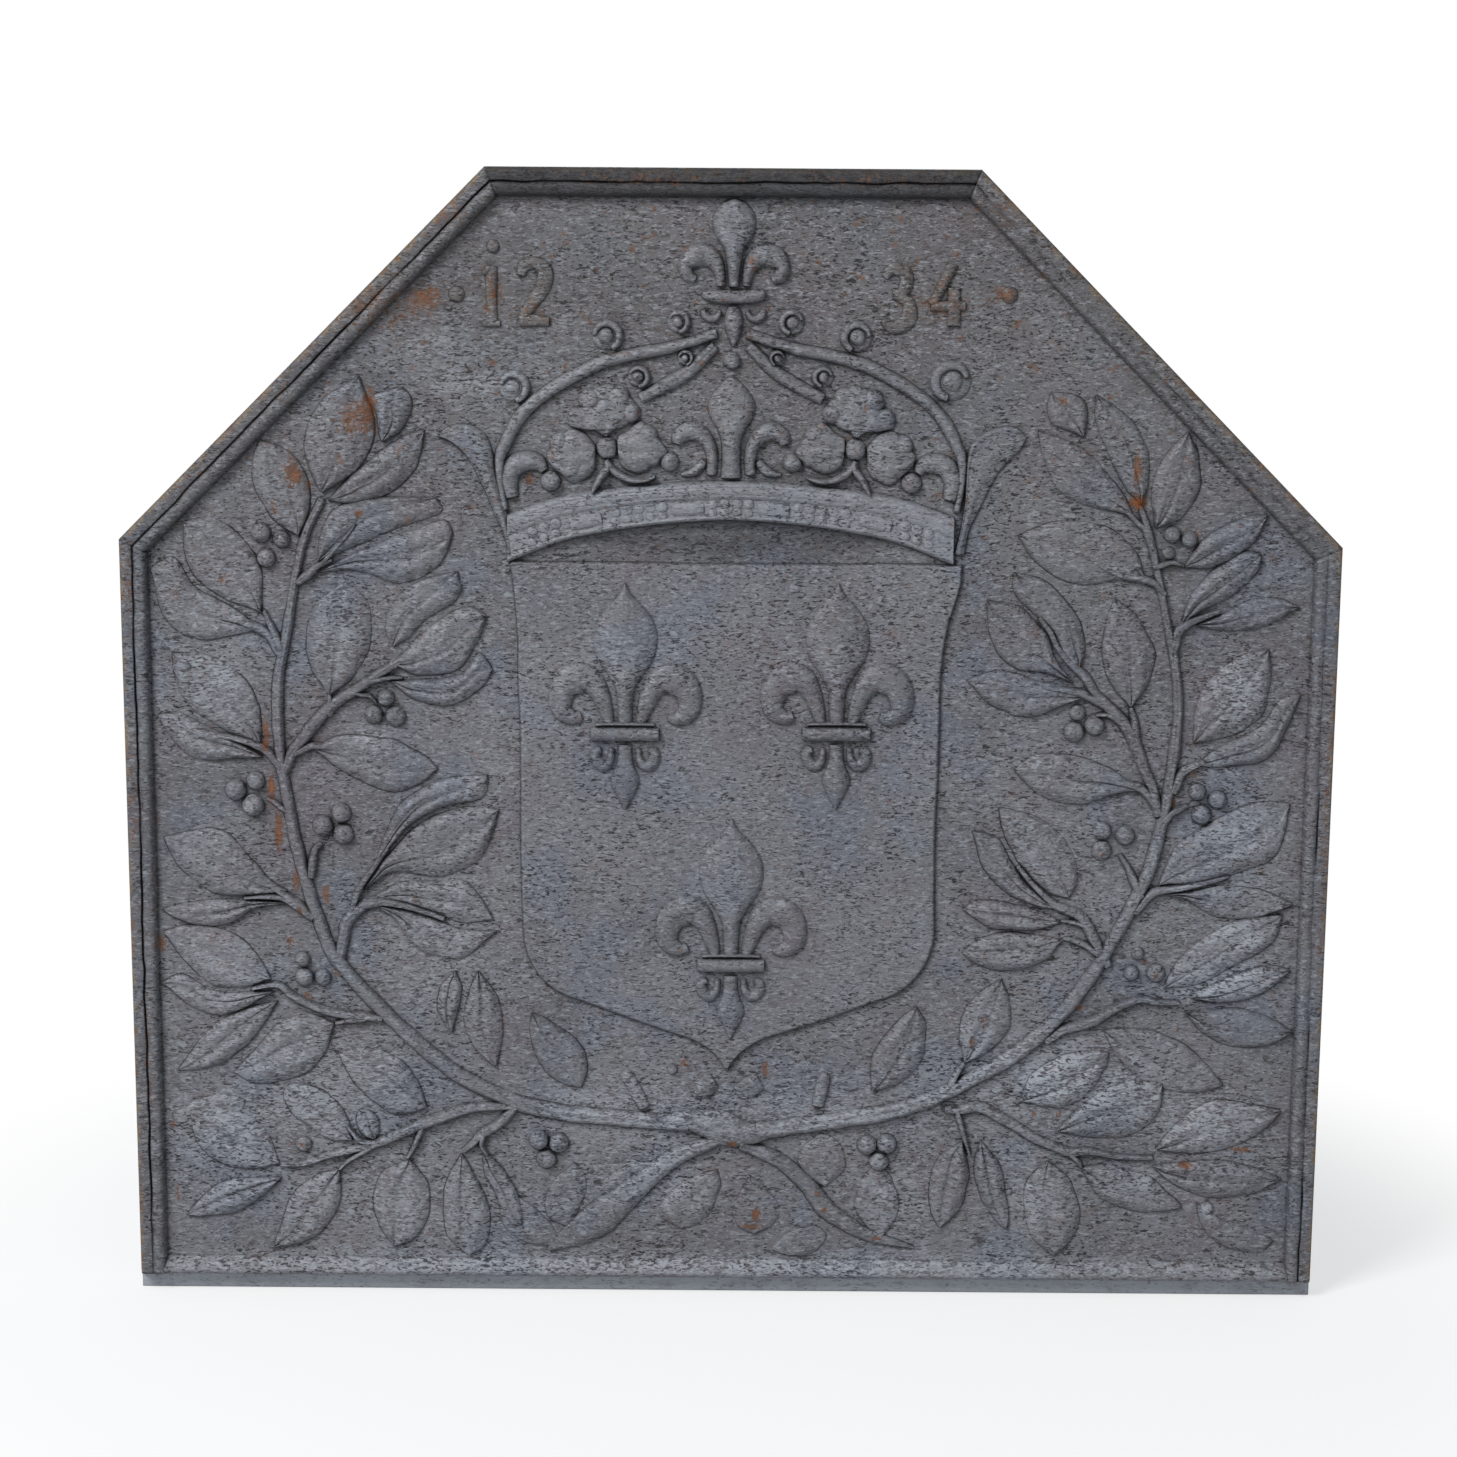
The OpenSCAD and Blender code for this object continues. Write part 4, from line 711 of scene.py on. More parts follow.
centreLily = [
    ([0, -1, 0, 8, 0, 16, 0, 23, 0, 30, 0, 37, 0, 44, 0, 51, 0, 58, 0, 63.5],
     [13, 11.5, 11.5, 12.5, 18, 26.5, 30, 25, 14, 2], petalHigh, bulgeBack, False),
    ([12.5, 1, 12, 11, 13.5, 19, 19, 26.5, 26.5, 28.5, 32.5, 25, 34, 20.5],
     [6.5, 7, 8, 10.5, 11.5, 10, 6.5], curlHigh, bulgeBack, True),
    ([31.5, 1, 23, 3, 17, 9.5], [2, 6, 5], [0.4, 0.55, 0.4], bulgeBack, True)]
topLily = [
    ([0, 6, 0, 15, 0, 22, 0, 29, 0, 34, 0, 38, 0, 44, 0, 51, 0, 57, 0, 60],
     [6.5, 7.5, 9.5, 12, 18.5, 23.5, 26.5, 25, 16, 6], petalHigh, bulgeBack, False),
    ([8, 6.5, 8.8, 14, 12.5, 22, 18.5, 25.5, 26, 24, 30.5, 18.5, 28.5, 12.5, 24, 10.5],
     [5.5, 6.5, 11, 14, 13.5, 9.5, 8, 5], curlHigh, bulgeBack, True),
    ([-19, 3, -15, 0.5, 0, -0.5, 15, 0.5, 19, 3], [4, 7.5, 8.5, 7.5, 4], bandHigh, roundBack, False),
    ([0, -6.5, 0, -13, 0, -19, 0, -25, 0, -31], [7, 11.5, 10.5, 7, 2], [0.7, 0.9, 0.4], bulgeBack, False),
    ([8.5, -9, 10.5, -13, 14.5, -14, 18, -11.5, 18.5, -8.5], [2.5, 4, 5, 5, 3.5], [0.5, 0.6], roundBack,
     True)]


# every stroke is scaled from its table's unit to millimetres and laid at the lily's middle
def lily(strokes, at, rise, kx=1, kz=1, base=groundY):
    shells = []
    for points, widths, high, section, mirrored in strokes:
        for s in ((-1, 1) if mirrored else (1,)):
            line = pairs(points) * [kx * s, kz] + at
            wide, lift = np.array(widths) * kx, np.array(high) * rise
            shells.append(ribbon(line, wide, lift, section, 60, 27, base=base, rough=0.3))
    return shells


for side, x, z in (("left", -67, 380), ("right", 69, 381), ("bottom", 2, 227)):
    shells = lily(shieldLily, [x, z], 6, 1.0, 1.45, shieldFace)
    castPiece("shield lily " + side, shells, finishes["lilies"], ["shield_lily_" + side], crease=0.3,
              base=shieldFace)
print("shield cast")

crownRise = 6.0
beadAt = [39, 555]
beads = [boss([s * beadAt[0], beadAt[1]], 12, crownRise) for s in (-1, 1)]
crownLilies = dict(centre=lily(centreLily, [0, 546], crownRise) + beads,
                   top=lily(topLily, [1, 659], crownRise))
for place, shells in crownLilies.items():
    castPiece("crown lily " + place, shells, finishes["crown"], ["crown_lily_" + place], crease=0.6)

circlet = dict(
    upper=[-142, 521, -106.5, 533, -71, 538.5, -35.5, 541.6, 0, 543, 35.5, 541.6, 71, 538.5, 106.5, 533,
           142, 521],
    wide=[31, 29, 27, 25.5, 25, 25.5, 27, 29, 31], high=[4.8, 8, 4.8], steps=260,
    floor=0.66,                                    # height of the sunk strip as a share of the band's
    seated=0.3,                                    # pearls and stones sink this far into it
    pearlsAt=(4, 11.5, 43, 50.5, 58, 65.5, 73, 111, 118.5, 126),
    pearlRows=((0.56, 7.4), (0.78, 6.6)),          # share of the way down the band, diameter
    pearlHigh=1.5,
    stonesAt=([17, 27, 37], [82, 92, 102]), stoneRow=0.66,
    stoneWide=[7.5, 9.5, 7.5], stoneHigh=[1.6, 2.0, 1.6])


# across the band: a broad round moulding scored by two lines, the sunk strip for the pearls, a thin lower
# roll
def circletBack(t, u):
    moulding = 0.3 * np.clip(1 - ((t - 0.56) / 0.44) ** 2, 0, 1) ** 0.5
    scored = 0.08 * np.exp(-((t - 0.36) / 0.03) ** 2) + 0.08 * np.exp(-((t - 0.7) / 0.03) ** 2)
    roll = 0.26 * np.clip(1 - ((t + 0.86) / 0.14) ** 2, 0, 1) ** 0.5
    return np.clip(1 - np.abs(t) ** 16, 0, 1) * (circlet["floor"] + moulding - scored + roll)


# place on the band at x, a share of the way down, and the level of the sunk strip there, which falls off
# evenly from the middle to the ends
def onBand(x, down):
    top, wide = smoothThrough(pairs(circlet["upper"]), 400), smoothThrough(circlet["wide"], 400)
    z = np.interp(x, top[:, 0], top[:, 1]) - down * np.interp(x, top[:, 0], wide)
    high = np.interp(abs(x), [0, circlet["upper"][-2]], [circlet["high"][1], circlet["high"][2]])
    return [x, z], groundY - circlet["floor"] * high + circlet["seated"]


upper = smoothThrough(pairs(circlet["upper"]), circlet["steps"])
lower = np.stack([upper[:, 0], upper[:, 1] - smoothThrough(circlet["wide"], circlet["steps"])], axis=1)
band = sheet(upper, lower, circlet["high"], circletBack, 61, rough=0.45, grit=6)
castPiece("crown circlet", [band], finishes["band"], ["crown_circlet"])
pearls = []
for x in circlet["pearlsAt"]:
    for s in (-1, 1):
        for down, wide in circlet["pearlRows"]:
            at, floor = onBand(s * x, down)
            pearls.append(boss(at, wide, circlet["pearlHigh"], floor, 6, 14))
for xs in circlet["stonesAt"]:
    for s in (-1, 1):
        line = [onBand(s * x, circlet["stoneRow"])[0] for x in xs]
        floor = onBand(xs[1], circlet["stoneRow"])[1]
        pearls.append(ribbon(line, circlet["stoneWide"], circlet["stoneHigh"], roundBack, 24, 13, base=floor))
castPiece("crown pearls", pearls, finishes["band"], ["crown_pearls"], crease=0)


# a lobe swells to a smooth belly that is dished a little along its middle
def lobeBack(t, u):
    dished = 0.82 + 0.18 * np.abs(np.sin(1.6 * math.pi * (t + 0.15)))
    return np.clip(1 - t * t, 0, 1) ** 0.5 * dished * (0.75 + 0.25 * np.sin(math.pi * u))


# the left flower: each lobe lies between two edges that both run from the bead to the lobe's far end, and
# is lumpy at its border; the foot splits in two sprigs
flowerLobes = [
    ([-80, 571, -88, 575.5, -94, 575, -102.5, 577.5, -101.5, 583, -98.5, 588, -93.5, 590, -92, 595.5,
      -88, 600, -78.5, 604],
     [-78, 571, -74, 575, -69, 576.5, -62, 581.5, -60, 585, -60.5, 589.5, -62, 593.5, -66, 597.5,
      -71, 601.5, -77.5, 604]),
    ([-86, 561, -86, 556, -86.5, 550, -90, 545, -95, 542.5, -101, 541, -107, 545.5, -112, 549.5,
      -115.5, 554, -117, 559],
     [-86, 565, -89, 569, -93, 573, -97, 575, -101, 575.5, -104.5, 574, -108, 570.5, -111.5, 567,
      -114.5, 563, -116.5, 560]),
    ([-72, 566, -71.5, 571, -66, 574, -61.5, 578.5, -57, 580.5, -53, 577.5, -49, 573.5, -46, 570, -43, 566,
      -40.5, 562],
     [-71, 561, -71, 556, -69.5, 552, -65, 549, -60, 547.5, -54.5, 549, -50, 552.5, -46, 554.5, -42.5, 557,
      -40.5, 560.5])]
flowerLumps = [
    [-89, 593.5, 15], [-72, 595, 16], [-97, 583, 13], [-64, 586, 13], [-108, 566, 14], [-101, 550.5, 14],
    [-53.5, 571.5, 14], [-50, 558.5, 13]]
flowerFoot = [
    ([-79, 556, -78, 551, -82, 546, -85.5, 540, -88, 535], [4, 5, 5, 4, 2]),
    ([-79, 556, -75, 549.5, -68, 545, -61, 543, -54, 543.5, -48, 546], [4, 5, 4.5, 3.5, 3, 2])]
flowerBead = [-78.5, 563.5, 14]
for side, s in (("left", 1), ("right", -1)):
    shells = []
    for edges in flowerLobes:
        one, other = (smoothThrough(pairs(edge) * [s, 1], 56) for edge in edges[::s])
        high = np.array([0.85, 1, 1.05, 1, 0.6]) * crownRise
        shells.append(sheet(one, other, high, lobeBack, 33, edge=0.5))
    for path, widths in flowerFoot:
        shells.append(ribbon(pairs(path) * [s, 1], widths, [4.5, 5.5, 7.2, 7.8], roundBack, 40, 13))
    shells += [boss([x * s, z], wide, 0.93 * crownRise, around=24) for x, z, wide in flowerLumps]
    shells.append(boss([flowerBead[0] * s, flowerBead[1]], flowerBead[2], crownRise + 0.3))
    castPiece("crown flower " + side, shells, finishes["crown"], ["crown_flower_" + side], crease=0.6)

endCurl = [139, 532, 141, 543, 137, 552, 129, 555, 122, 553.5, 118.5, 549]
outerArch = [143.5, 524, 146, 540, 146.5, 557, 143, 566, 137, 578, 129, 588.5, 116, 599, 100, 608.5,
             85, 616, 70, 620.5, 56, 623.5, 40, 626.5, 24, 631, 9.5, 636]
innerArch = [57.5, 595, 47, 600.5, 37, 606, 28, 611.5, 20, 618.5, 10.5, 628]
for side, s in (("left", -1), ("right", 1)):
    curl = ribbon(pairs(endCurl) * [s, 1], [9, 11.5, 13, 12.5, 10, 6], [4, 5.4, 5.4, 4], bulgeBack, 50, 19)
    bead = boss([s * 114.5, 542.5], 13, crownRise)
    castPiece("crown curl " + side, [curl, bead], finishes["crown"], ["crown_curl_" + side])
arches = dict(
    outer=(outerArch, [4.5, 6.8, 8, 8, 8, 8, 7.2, 6], [3.4, 4.4, 5, 5, 5, 4.6, 4], roundBack, 140, 15),
    inner=(innerArch, [7, 8.5, 7], [3.6, 4.6], stemBack, 60, 19))
for which, (path, *form) in arches.items():
    shells = [ribbon(pairs(path) * [s, 1], *form, edge=0.5) for s in (-1, 1)]
    castPiece("crown arch " + which, shells, finishes["crown"], ["crown_arch_" + which])

# scrolls: x and z of the eye, radius, angle where the scroll leaves the arch, direction of its turn; each
# is a coil on a low disc, round a bead
scrolls = [
    [-138, 601.5, 7.5, -50, 1], [-79, 634, 7.3, -40, 1], [-34, 643, 5.5, -60, 1], [139, 607, 9.5, 230, -1],
    [79, 634, 7.3, 220, -1], [38, 643, 6, 230, -1], [-59, 608.5, 5.2, -60, 1], [-29.5, 620.5, 3.8, -50, 1],
    [58, 609, 5, 230, -1], [29, 620.5, 3.8, 220, -1]]
scrollShape = dict(
    outer=1.15, inner=0.98, before=25, after=215,      # the coil's radius in radii of the eye, and its angles
    wide=[0.6, 0.75, 0.7, 0.5], high=[4.6, 4.6, 4.4, 3.4],
    disc=(2.5, 2.6, 30), bead=(1.55, 5.2, 26))         # diameter in radii, height in mm, points around
shells = []
for x, z, r, start, turn in scrolls:
    a0, a1 = start - scrollShape["before"] * turn, start + scrollShape["after"] * turn
    path = coil([x, z], scrollShape["outer"] * r, scrollShape["inner"] * r, a0, a1)
    shells.append(ribbon(path, np.array(scrollShape["wide"]) * r, scrollShape["high"], roundBack, 60, 15))
    for wide, high, around in (scrollShape["disc"], scrollShape["bead"]):
        shells.append(boss([x, z], wide * r, high, around=around))
shells.append(boss([0, 619], 11, 5))
castPiece("crown scrolls", shells, finishes["crown"], ["crown_scrolls"], crease=0.4)
print("crown cast")

stemShape = dict(wide=11, rise=5.5, swell=[0.45, 0.7, 0.9, 1], climb=[0.6, 0.9, 1],
                 twigSwell=[0.8, 1, 0.8, 0.45], twigClimb=[0.8, 0.92, 0.86, 0.66], twigSteps=12)
stems = dict(
    left=[-260, 530, -273, 500, -283, 450, -291, 397, -285, 329, -268, 258, -248, 218, -189, 159, -144, 134,
          -110, 125, -67, 121, -25, 118],
    right=[266, 512, 277, 467, 288, 411, 286, 360, 278, 310, 265, 272, 232, 212, 198, 174, 153, 145,
           116, 129, 80, 122, 20, 113])
# twigs leave the stem or a bigger twig at their first point; many run on into a leaf as its midrib; the
# number is the width
twigs = dict(
    left=[([-273, 479, -269, 482, -263, 487, -254, 491], 6),
          ([-258, 491, -249, 501, -240, 512, -236, 521], 3), ([-289, 436, -293, 446, -298, 458], 6),
          ([-290, 433, -295, 442, -303, 447, -314, 451, -325, 453], 7),
          ([-286, 357, -282, 366, -276, 373, -270, 381, -260, 393, -250, 401, -239, 408, -227, 416,
            -218, 422, -202, 432, -188, 440, -178, 443], 8), ([-229, 413, -219, 415, -210, 415], 4),
          ([-257, 395, -257, 400, -257, 404], 5),
          ([-276, 367, -270, 370, -264, 370, -257, 369, -244, 367], 5),
          ([-236, 404, -231, 403, -227, 399], 3),
          ([-290, 356, -296, 364, -302, 369, -315, 374, -331, 377, -345, 379], 6),
          ([-294, 361, -299, 368, -302, 371], 5), ([-290, 330, -294, 333, -299, 336], 4),
          ([-271, 288, -270, 295, -268, 302, -264, 306], 6),
          ([-274, 259, -281, 265, -290, 272, -297, 276], 7),
          ([-279, 262, -290, 269, -303, 270, -315, 269], 5),
          ([-254, 229, -251, 242, -249, 252, -243, 260, -235, 266, -224, 267, -212, 265, -198, 261,
            -185, 256], 8), ([-244, 262, -242, 272, -236, 282, -230, 290, -221, 303], 5),
          ([-231, 189, -240, 190, -252, 191, -265, 194, -277, 199, -286, 204, -293, 210, -301, 210,
            -311, 208], 6), ([-242, 188, -251, 187, -257, 185], 5),
          ([-141, 129, -153, 129, -171, 127, -188, 121, -199, 117, -215, 110, -229, 104, -237, 101,
            -252, 97, -265, 94, -275, 90, -285, 88, -295, 88], 7),
          ([-141, 127, -149, 118, -161, 110, -168, 103, -174, 98], 7),
          ([-203, 110, -207, 100, -211, 93], 4), ([-237, 99, -250, 91, -256, 85], 4),
          ([-229, 104, -241, 104, -247, 110, -251, 116], 4), ([-161, 109, -162, 102, -158, 95], 4)],
    right=[([267, 506, 264, 514, 259, 518, 253, 524, 247, 527], 5), ([266, 511, 262, 523, 260, 529], 6),
           ([274, 491, 281, 493, 289, 491], 4),
           ([274, 476, 270, 480, 261, 483, 252, 484, 241, 488, 228, 495, 217, 501], 5),
           ([285, 440, 287, 449, 293, 454, 300, 457, 313, 462], 7),
           ([277, 333, 273, 348, 267, 362, 263, 373, 258, 383, 253, 390, 248, 395, 242, 401, 235, 408,
             228, 419, 219, 427, 210, 438, 205, 448, 198, 457], 8),
           ([242, 400, 233, 405, 226, 408, 216, 410, 201, 412, 183, 415], 6),
           ([261, 384, 260, 392, 258, 399], 6), ([257, 384, 252, 389, 244, 394, 236, 394], 5),
           ([275, 336, 268, 345, 261, 348, 251, 350, 237, 352, 220, 352], 6),
           ([289, 348, 292, 356, 298, 360, 307, 364], 7), ([283, 326, 287, 330, 297, 335], 6),
           ([267, 278, 263, 286, 260, 293, 254, 302], 6),
           ([268, 267, 274, 275, 280, 278, 294, 280, 310, 284, 325, 288], 6),
           ([246, 232, 240, 243, 235, 253, 229, 261, 221, 265, 212, 269, 200, 280, 188, 294], 8),
           ([240, 237, 233, 242, 225, 245, 219, 246], 5), ([232, 255, 225, 257, 217, 258], 4),
           ([213, 179, 220, 184, 231, 187, 242, 191, 251, 197, 261, 202, 271, 205, 283, 203, 296, 203], 7),
           ([149, 129, 155, 129, 164, 131, 172, 129, 180, 124, 191, 118, 203, 110, 215, 105, 227, 100,
             239, 101, 255, 98, 268, 97, 282, 97], 7), ([148, 146, 150, 151, 153, 157, 156, 161], 5),
           ([153, 125, 156, 114, 158, 107, 161, 98], 4), ([227, 100, 233, 94, 235, 90], 4)])


# the path starts 5 mm further back, inside the stem it grows from
def rooted(path):
    p = pairs(path)
    back = p[0] - p[1]
    return np.concatenate([[p[0] + 5 * back / np.linalg.norm(back)], p])


for side in ("left", "right"):
    wide = np.array(stemShape["swell"]) * stemShape["wide"]
    high = np.array(stemShape["climb"]) * stemShape["rise"]
    stem = ribbon(stems[side], wide, high, stemBack, 360, 19, rough=0.5, grit=11, edge=0.9)
    castPiece("laurel stem " + side, [stem], finishes["stems"], ["laurel_stem_" + side])
    shells, high = [], np.array(stemShape["twigClimb"]) * stemShape["rise"]
    for path, wide in twigs[side]:
        wide, steps = np.array(stemShape["twigSwell"]) * wide, stemShape["twigSteps"] * len(pairs(path))
        shells.append(ribbon(rooted(path), wide, high, stemBack, steps, 15, edge=0.6))
    castPiece("laurel twigs " + side, shells, finishes["stems"], ["laurel_twigs_" + side])

leafShape = dict(rise=5.0, high=[0.6, 0.85, 0.95, 1, 0.95, 0.8, 0.45],
                 grid=dict(steps=64, across=47, rough=0.75, grit=10, edge=1.3))


# a blade that bulges either side of a midrib: one half swells higher, the other is dished; the midrib is a
# thin rib with a groove on its lower side, and the surface rolls a little along the leaf; where is the
# rib's place across
def leafBack(where, lean, roll):
    def back(t, u):
        s = np.where(t > where, (t - where) / (1 - where), (t - where) / (1 + where))
        swell = np.sin(np.clip(np.abs(s), 0, 1) * math.pi) ** 0.9
        halves = 0.7 + 0.3 * swell + lean * s * (1 - 0.4 * np.abs(s))
        fade = np.clip(1.25 - u, 0, 1)
        groove = 0.2 * np.exp(-((s + 0.1) / 0.07) ** 2) * fade
        rib = 0.2 * np.exp(-(s / 0.06) ** 2) * fade
        rolling = 0.15 * np.sin(roll + 8 * u + 3 * np.abs(s)) * np.sin(np.abs(s) * math.pi)
        return np.clip(1 - np.abs(t) ** 3.2, 0, 1) ** 0.55 * (halves - groove + rib + rolling)
    return back


# the leaf's own chance numbers set how far its midrib wanders, which half is higher and how it rolls
def leaf(outline):
    tip = pairs(outline)[4]
    chance = castNoise(tip[0] * 7, tip[1] * 7, 11, np.arange(4))
    section = leafBack(0.14 * chance[0], 0.12 + 0.16 * chance[1], 6 * chance[2])
    high = np.array(leafShape["high"]) * leafShape["rise"] * (0.9 + 0.1 * chance[3])
    return blade(outline, high, section, **leafShape["grid"])


# outlines of the leaves, as blade takes them
leafOutlines = dict(
    left_top=[
        [-260, 534, -267, 548, -270, 567, -259, 591, -235, 608, -226, 580, -231, 556, -245, 542],
        [-221, 566, -224, 575, -225, 585, -227, 595, -208, 601, -203, 593, -204, 582, -211, 572],
        [-256, 529, -242, 543, -225, 559, -209, 569, -194, 574, -200, 550, -216, 534, -237, 527],
        [-275, 506, -290, 516, -301, 533, -304, 551, -299, 567, -283, 562, -271, 547, -267, 527],
        [-263, 490, -261, 508, -251, 524, -228, 531, -187, 531, -185, 521, -210, 512, -237, 501],
        [-263, 483, -236, 497, -208, 508, -183, 517, -177, 509, -186, 488, -210, 476, -240, 484]],
    left_outer=[
        [-300, 457, -321, 464, -340, 477, -348, 495, -348, 515, -328, 517, -310, 503, -299, 483],
        [-301, 446, -322, 441, -342, 439, -362, 452, -370, 485, -355, 492, -342, 473, -319, 460],
        [-302, 371, -323, 379, -344, 392, -356, 409, -358, 430, -335, 429, -314, 415, -303, 396],
        [-301, 363, -319, 361, -343, 361, -358, 371, -368, 390, -356, 392, -342, 386, -320, 374],
        [-287, 274, -308, 271, -335, 272, -355, 287, -367, 309, -333, 315, -313, 299, -299, 282],
        [-285, 266, -309, 262, -328, 251, -354, 252, -369, 261, -355, 265, -335, 268, -309, 268],
        [-299, 215, -315, 209, -336, 210, -355, 226, -369, 246, -347, 251, -325, 246, -308, 231],
        [-298, 206, -313, 197, -335, 190, -354, 197, -370, 212, -356, 217, -337, 206, -316, 206]],
    left_inner=[
        [-257, 403, -268, 420, -271, 442, -265, 463, -246, 477, -232, 465, -230, 440, -241, 417],
        [-216, 435, -221, 447, -217, 460, -202, 476, -174, 484, -174, 468, -193, 454, -206, 441],
        [-217, 425, -205, 436, -189, 451, -169, 462, -156, 456, -162, 439, -174, 421, -199, 417],
        [-218, 413, -199, 414, -173, 417, -161, 431, -152, 421, -161, 408, -181, 397, -203, 402],
        [-269, 369, -249, 377, -221, 375, -199, 366, -188, 356, -201, 345, -221, 341, -248, 353],
        [-230, 290, -224, 310, -210, 334, -187, 348, -156, 352, -159, 337, -187, 330, -209, 316],
        [-237, 275, -220, 299, -200, 319, -171, 331, -149, 329, -160, 298, -186, 284, -217, 287],
        [-234, 269, -213, 280, -190, 281, -169, 280, -153, 256, -172, 253, -193, 260, -211, 266],
        [-231, 265, -211, 262, -194, 256, -172, 249, -151, 248, -175, 230, -202, 235, -217, 255],
        [-163, 221, -152, 205, -147, 186, -149, 169, -152, 156, -164, 166, -172, 183, -170, 205],
        [-178, 221, -174, 210, -175, 199, -178, 187, -181, 179, -187, 187, -190, 196, -188, 210],
        [-128, 193, -113, 185, -98, 174, -92, 156, -96, 142, -110, 146, -122, 158, -129, 177]],
    left_low=[
        [-295, 200, -302, 188, -315, 170, -337, 155, -362, 152, -350, 168, -334, 186, -313, 195],
        [-258, 185, -266, 163, -282, 149, -309, 143, -325, 151, -310, 167, -294, 185, -274, 190],
        [-198, 128, -218, 122, -235, 133, -248, 148, -256, 166, -237, 168, -218, 161, -205, 148],
        [-247, 105, -264, 105, -283, 119, -292, 131, -292, 143, -275, 142, -260, 134, -250, 120],
        [-232, 106, -240, 108, -244, 116, -244, 122, -243, 126, -236, 125, -230, 119, -230, 111],
        [-296, 89, -319, 84, -340, 91, -352, 106, -355, 124, -335, 127, -315, 121, -302, 107],
        [-295, 79, -306, 67, -326, 55, -345, 51, -358, 52, -350, 63, -335, 74, -314, 78],
        [-256, 85, -256, 65, -265, 45, -281, 33, -301, 30, -296, 47, -289, 65, -274, 79],
        [-210, 92, -198, 74, -197, 54, -206, 38, -221, 31, -231, 46, -234, 64, -227, 83],
        [-175, 96, -165, 78, -157, 56, -160, 34, -171, 25, -186, 40, -188, 64, -183, 83],
        [-161, 98, -150, 88, -140, 72, -135, 56, -135, 47, -145, 49, -152, 65, -160, 83]],
    right_top=[
        [256, 523, 231, 528, 210, 537, 198, 557, 194, 576, 219, 568, 236, 553, 249, 536],
        [223, 572, 215, 576, 204, 580, 200, 589, 201, 600, 216, 599, 224, 591, 224, 579],
        [260, 530, 250, 541, 239, 560, 230, 582, 230, 599, 249, 587, 263, 566, 265, 545],
        [270, 515, 267, 532, 269, 548, 277, 564, 289, 576, 296, 560, 297, 540, 286, 522],
        [265, 481, 249, 482, 225, 478, 199, 489, 183, 509, 207, 519, 240, 515, 259, 499],
        [289, 490, 300, 507, 315, 517, 331, 523, 341, 524, 335, 509, 323, 498, 308, 490],
        [289, 454, 294, 472, 308, 488, 326, 500, 338, 499, 336, 488, 322, 473, 303, 462],
        [298, 453, 313, 460, 330, 469, 347, 471, 364, 465, 348, 455, 330, 449, 313, 450]],
    right_outer=[
        [299, 376, 300, 401, 310, 420, 327, 433, 345, 438, 348, 418, 341, 393, 320, 380],
        [299, 361, 318, 375, 341, 387, 354, 404, 367, 409, 360, 388, 347, 367, 322, 361],
        [280, 282, 291, 308, 314, 325, 339, 337, 363, 337, 356, 304, 331, 290, 304, 283],
        [278, 276, 300, 278, 325, 282, 350, 278, 368, 270, 344, 260, 315, 262, 298, 273],
        [285, 213, 297, 234, 316, 251, 339, 261, 361, 263, 356, 244, 333, 229, 309, 216],
        [303, 207, 312, 213, 336, 224, 353, 228, 368, 226, 360, 217, 347, 208, 325, 203],
        [300, 197, 319, 199, 342, 198, 360, 191, 371, 184, 359, 176, 339, 173, 314, 181]],
    right_inner=[
        [224, 423, 213, 433, 205, 450, 183, 470, 181, 486, 203, 479, 220, 460, 227, 439],
        [221, 415, 203, 421, 181, 425, 167, 444, 164, 468, 183, 464, 202, 448, 210, 430],
        [229, 406, 214, 400, 192, 392, 169, 400, 152, 416, 172, 422, 197, 417, 220, 410],
        [258, 399, 244, 416, 239, 438, 241, 457, 246, 470, 260, 458, 272, 436, 270, 417],
        [265, 345, 249, 342, 226, 335, 201, 341, 184, 358, 200, 368, 228, 366, 252, 355],
        [222, 273, 205, 278, 189, 296, 178, 317, 175, 333, 200, 326, 220, 310, 227, 288],
        [220, 266, 201, 267, 179, 278, 165, 295, 158, 317, 175, 312, 186, 293, 204, 274],
        [217, 257, 204, 253, 187, 251, 168, 254, 153, 265, 164, 270, 185, 269, 206, 263],
        [218, 245, 209, 232, 186, 224, 164, 227, 153, 236, 165, 245, 183, 249, 201, 248],
        [96, 141, 95, 159, 102, 176, 113, 190, 124, 199, 130, 186, 129, 165, 116, 148],
        [156, 161, 153, 179, 156, 196, 167, 210, 179, 218, 185, 204, 185, 185, 173, 170]],
    right_low=[
        [247, 184, 269, 185, 295, 178, 315, 162, 327, 147, 310, 142, 282, 146, 260, 161],
        [193, 135, 201, 153, 219, 166, 239, 170, 251, 169, 248, 157, 237, 139, 218, 131],
        [218, 115, 239, 137, 259, 147, 276, 150, 287, 149, 285, 128, 268, 113, 243, 110],
        [284, 103, 297, 120, 320, 136, 346, 134, 366, 130, 356, 118, 338, 106, 310, 100],
        [282, 91, 300, 94, 327, 95, 352, 89, 368, 83, 348, 72, 322, 69, 299, 77],
        [235, 90, 257, 91, 280, 83, 295, 71, 303, 63, 288, 59, 267, 61, 248, 69],
        [213, 94, 228, 80, 235, 58, 229, 38, 218, 28, 204, 40, 198, 60, 200, 80],
        [156, 107, 160, 93, 159, 69, 151, 55, 142, 47, 136, 59, 135, 78, 141, 96],
        [168, 108, 180, 93, 186, 71, 188, 55, 186, 46, 176, 56, 167, 75, 165, 93]])
for place, rows in leafOutlines.items():
    shells = [leaf(row) for row in rows]
    castPiece("leaves " + place.replace("_", " "), shells, finishes["leaves"], ["leaves_" + place])

